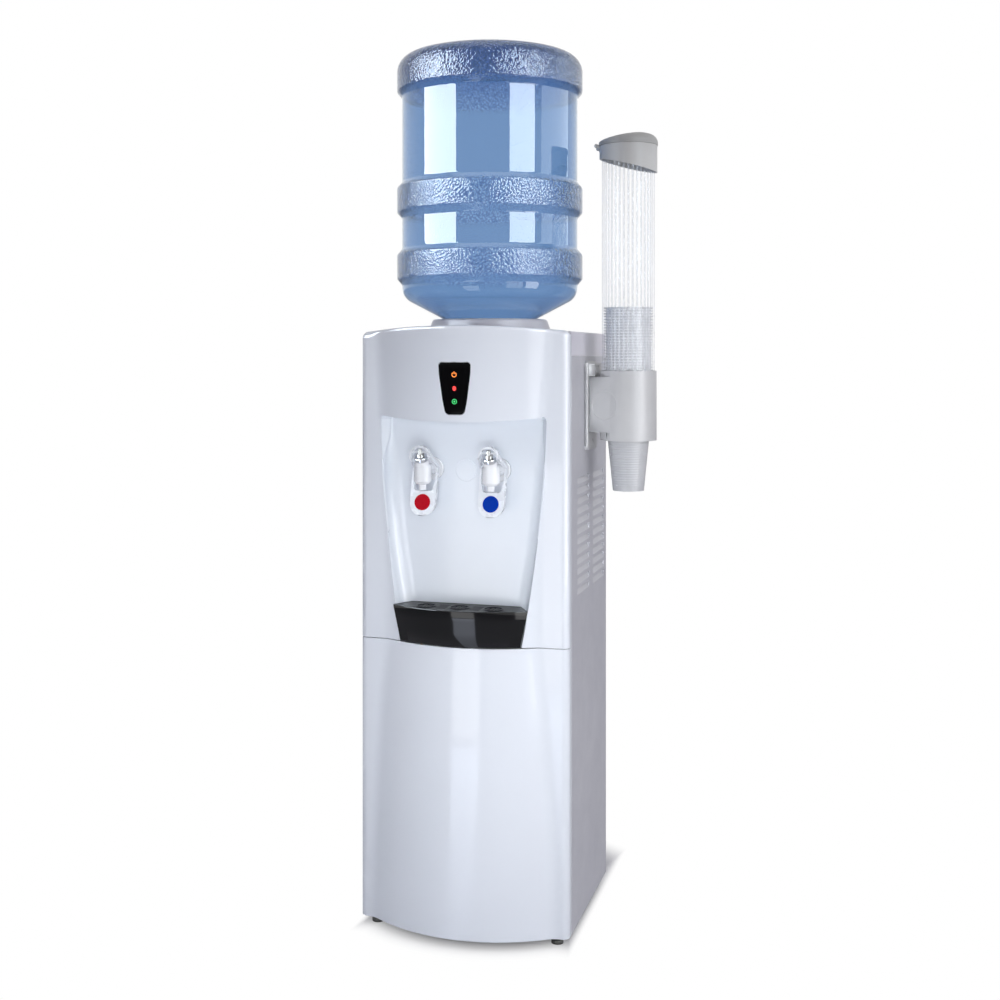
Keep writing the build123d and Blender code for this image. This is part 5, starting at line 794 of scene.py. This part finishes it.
def studio_floor():
    """Pale floor: the shadow stays under and close to the object's foot, and the rest is white to the camera
    and through glass.

    The white sets in with the distance from the foot's plan, a box joined with the bow's circle."""
    material, tree, shader, where = finish("pale_floor", "#ececee", Roughness=0.9)
    grain_bump(tree, shader, where, grain=40.0, height=0.05)
    axis = place(0, BOW_AXIS_V, 0)
    from_bow = add(tree, "Mapping", {"Vector": where}, Location=(-axis[0], -axis[1], 0))
    span = add(tree, "VectorMath", {0: from_bow.outputs["Vector"]}, operation="LENGTH")
    bow = add(tree, "Math", {0: span.outputs["Value"], 1: LOWER_RADII[0] / 1000}, operation="SUBTRACT")
    spot = add(tree, "SeparateXYZ", {"Vector": from_bow.outputs["Vector"]}).outputs
    aside = add(tree, "Math", {0: spot["X"]}, operation="ABSOLUTE")
    beside = add(tree, "Math", {0: aside.outputs[0], 1: SIDE_FADE, 2: -SIDE_FADE * WIDTH / 2000},
                 operation="MULTIPLY_ADD")
    ahead = add(tree, "Math", {0: -(BOW_AXIS_V + WING_REACH) / 1000, 1: spot["Y"]}, operation="SUBTRACT")
    box = add(tree, "Math", {0: beside.outputs[0], 1: ahead.outputs[0]}, operation="MAXIMUM")
    behind = add(tree, "Math", {0: spot["Y"], 1: (DEPTH - BOW_AXIS_V) / 1000}, operation="SUBTRACT")
    shell = add(tree, "Math", {0: box.outputs[0], 1: behind.outputs[0]}, operation="MAXIMUM")
    lobe = add(tree, "Math", {0: bow.outputs[0], 1: beside.outputs[0]}, operation="MAXIMUM")
    near = add(tree, "Math", {0: lobe.outputs[0], 1: shell.outputs[0]}, operation="MINIMUM")
    away = add(tree, "MapRange", {"Value": near.outputs[0]}, interpolation_type="SMOOTHSTEP", From_Min=-0.045,
               From_Max=0.03)
    ray = add(tree, "LightPath").outputs
    seen = add(tree, "Math", {0: ray["Is Camera Ray"], 1: ray["Is Transmission Ray"]}, operation="MAXIMUM")
    share = add(tree, "Math", {0: away.outputs["Result"], 1: seen.outputs[0]}, operation="MULTIPLY")
    white = add(tree, "Emission", Strength=1.0)
    both = add(tree, "MixShader",
               {0: share.outputs[0], 1: shader.outputs["BSDF"], 2: white.outputs["Emission"]})
    tree.links.new(both.outputs["Shader"], tree.nodes["Material Output"].inputs["Surface"])
    edge = np.array([-FLOOR_REACH, FLOOR_REACH])
    points = np.stack([*np.broadcast_arrays(edge[:, None], edge, -FLOOR_DROP)], axis=-1)
    mesh = grid_mesh("floor", points, outward=UPWARD)
    mesh.materials.append(material)
    floor = bpy.data.objects.new("floor", mesh)
    bpy.context.collection.objects.link(floor)


def softbox(name, azimuth, distance, width, low, high, brightness, colour="#ffffff",
            shines=True, mirrors=True, spread=180.0, aim=0.0):
    """Upright rectangular lamp that faces the cabinet; azimuth in degrees to the right of straight ahead.

    Distance, width, heights and aim, which is how far right of the middle it points, are in metres, and
    brightness is what a reflection of the lamp shows. A lamp that shines lights dull surfaces, and one that
    mirrors is seen in glossy ones. None is seen through glass. Spread in degrees narrows its beam as a grid
    in front of it does."""
    lamp = bpy.data.lights.new(name, "AREA")
    lamp.shape, lamp.size, lamp.size_y, lamp.spread = "RECTANGLE", width, high - low, radians(spread)
    lamp.energy, lamp.color = brightness * pi * width * (high - low), linear(colour)[:3]
    box = bpy.data.objects.new(name, lamp)
    bpy.context.collection.objects.link(box)
    turn = radians(azimuth)
    foot = place(1000 * (aim + distance * sin(turn)), -1000 * distance * cos(turn), 0)
    box.location = (foot[0], foot[1], (low + high) / 2)
    box.rotation_euler = (pi / 2, 0, turn)
    box.visible_camera = box.visible_transmission = False
    box.visible_diffuse, box.visible_glossy = shines, mirrors
    return box


def floor_sheen(name, first, last, near, far, brightness):
    """Gleam on the floor in front, from near to far metres between two azimuths.

    It is seen only in glossy surfaces, stands for the front lamp's image in the floor and fades towards the
    cabinet."""
    material, tree, _, where = finish(name, "#000000")
    spot = add(tree, "SeparateXYZ", {"Vector": where}).outputs
    corner = CORNER_Y / 1000
    front = add(tree, "MapRange", {"Value": spot["Y"]}, From_Min=corner - far, From_Max=corner - near,
                To_Min=brightness, To_Max=0.3 * brightness)
    glow = add(tree, "Emission", {"Strength": front.outputs["Result"]}, Color=linear("#e8efff"))
    tree.links.new(glow.outputs["Emission"], tree.nodes["Material Output"].inputs["Surface"])
    turn, reach = np.radians([first, last]), 1000 * np.array([[near], [far]])
    mesh = grid_mesh(name, place(reach * np.sin(turn), -reach * np.cos(turn), 0.4), outward=UPWARD)
    mesh.materials.append(material)
    sheen = bpy.data.objects.new(name, mesh)
    bpy.context.collection.objects.link(sheen)
    sheen.visible_camera = sheen.visible_diffuse = sheen.visible_transmission = sheen.visible_shadow = False


def studio_world():
    """Even pale surroundings: lilac fill for dull surfaces, white to the camera, in mirrors and in glass."""
    world = bpy.data.worlds.new("studio")
    bpy.context.scene.world = world
    world.use_nodes = True
    tree = world.node_tree
    ray = add(tree, "LightPath").outputs
    direct = add(tree, "Math", {0: ray["Is Camera Ray"], 1: ray["Is Transmission Ray"]}, operation="MAXIMUM")
    seen = add(tree, "Math", {0: direct.outputs[0], 1: ray["Is Glossy Ray"]}, operation="MAXIMUM").outputs[0]
    tint = add(tree, "MixRGB", {"Fac": seen}, Color1=linear("#ebe8f8"), Color2=(1, 1, 1, 1))
    strength = add(tree, "MapRange", {"Value": seen}, To_Min=0.27, To_Max=1.0)
    tree.links.new(tint.outputs["Color"], tree.nodes["Background"].inputs["Color"])
    tree.links.new(strength.outputs["Result"], tree.nodes["Background"].inputs["Strength"])


studio_floor()
studio_world()
softbox("right_key", 15.0, 1.3, 0.5, 0.02, 0.95, 0.87, "#f9fdff", mirrors=False, spread=44.0, aim=0.06)
softbox("right_fill", 84.0, 1.5, 1.0, 0.1, 1.9, 1.35, mirrors=False)
softbox("right_band", 51.0, 1.6, 0.62, 0.05, 1.05, 2.2, shines=False)
softbox("front_band", -8.6, 1.35, 0.52, 0.02, 0.55, 2.4, shines=False)
floor_sheen("floor_gleam", -19.5, 2.3, 0.02, 1.35, 4.4)
softbox("niche_glint", 75.0, 1.5, 0.48, 0.25, 1.0, 7.0, shines=False)
softbox("bottle_left", -53.0, 1.6, 1.5, 1.02, 2.3, 22.0, "#e6f3ff", shines=False)
softbox("bottle_right", 61.0, 1.6, 1.0, 1.02, 2.3, 17.0, "#e6f3ff", shines=False)
softbox("bottle_far", 113.0, 1.6, 1.5, 1.02, 2.3, 3.0, "#e6f3ff", shines=False)
softbox("rear_fill", 205.0, 2.0, 1.6, 0.1, 2.0, 0.9, mirrors=False)
overhead = softbox("overhead", 0.0, 0.0, 1.6, 2.6, 3.8, 1.2)
overhead.location, overhead.rotation_euler = (0, -0.2, 2.6), (0, 0, 0)

# Camera in cabinet terms, aside from the cabinet's right side; its turn is in degrees
CAMERA_ASIDE, CAMERA_V, CAMERA_Z, CAMERA_TURN = 413.9, -1784.3, 809.7, 16.08
SENSOR_WIDTH, LENS_LENGTH, LENS_SHIFT = 36.0, 47.9, -0.1426
camera_data = bpy.data.cameras.new("photo_camera")
camera_data.sensor_width, camera_data.lens = SENSOR_WIDTH, LENS_LENGTH
camera_data.shift_y = LENS_SHIFT
camera = bpy.data.objects.new("photo_camera", camera_data)
bpy.context.collection.objects.link(camera)
camera.location = place(half + CAMERA_ASIDE, CAMERA_V, CAMERA_Z).tolist()
camera.rotation_euler = (pi / 2, 0, radians(CAMERA_TURN))
bpy.context.scene.camera = camera
bpy.context.scene.view_settings.view_transform = "Standard"
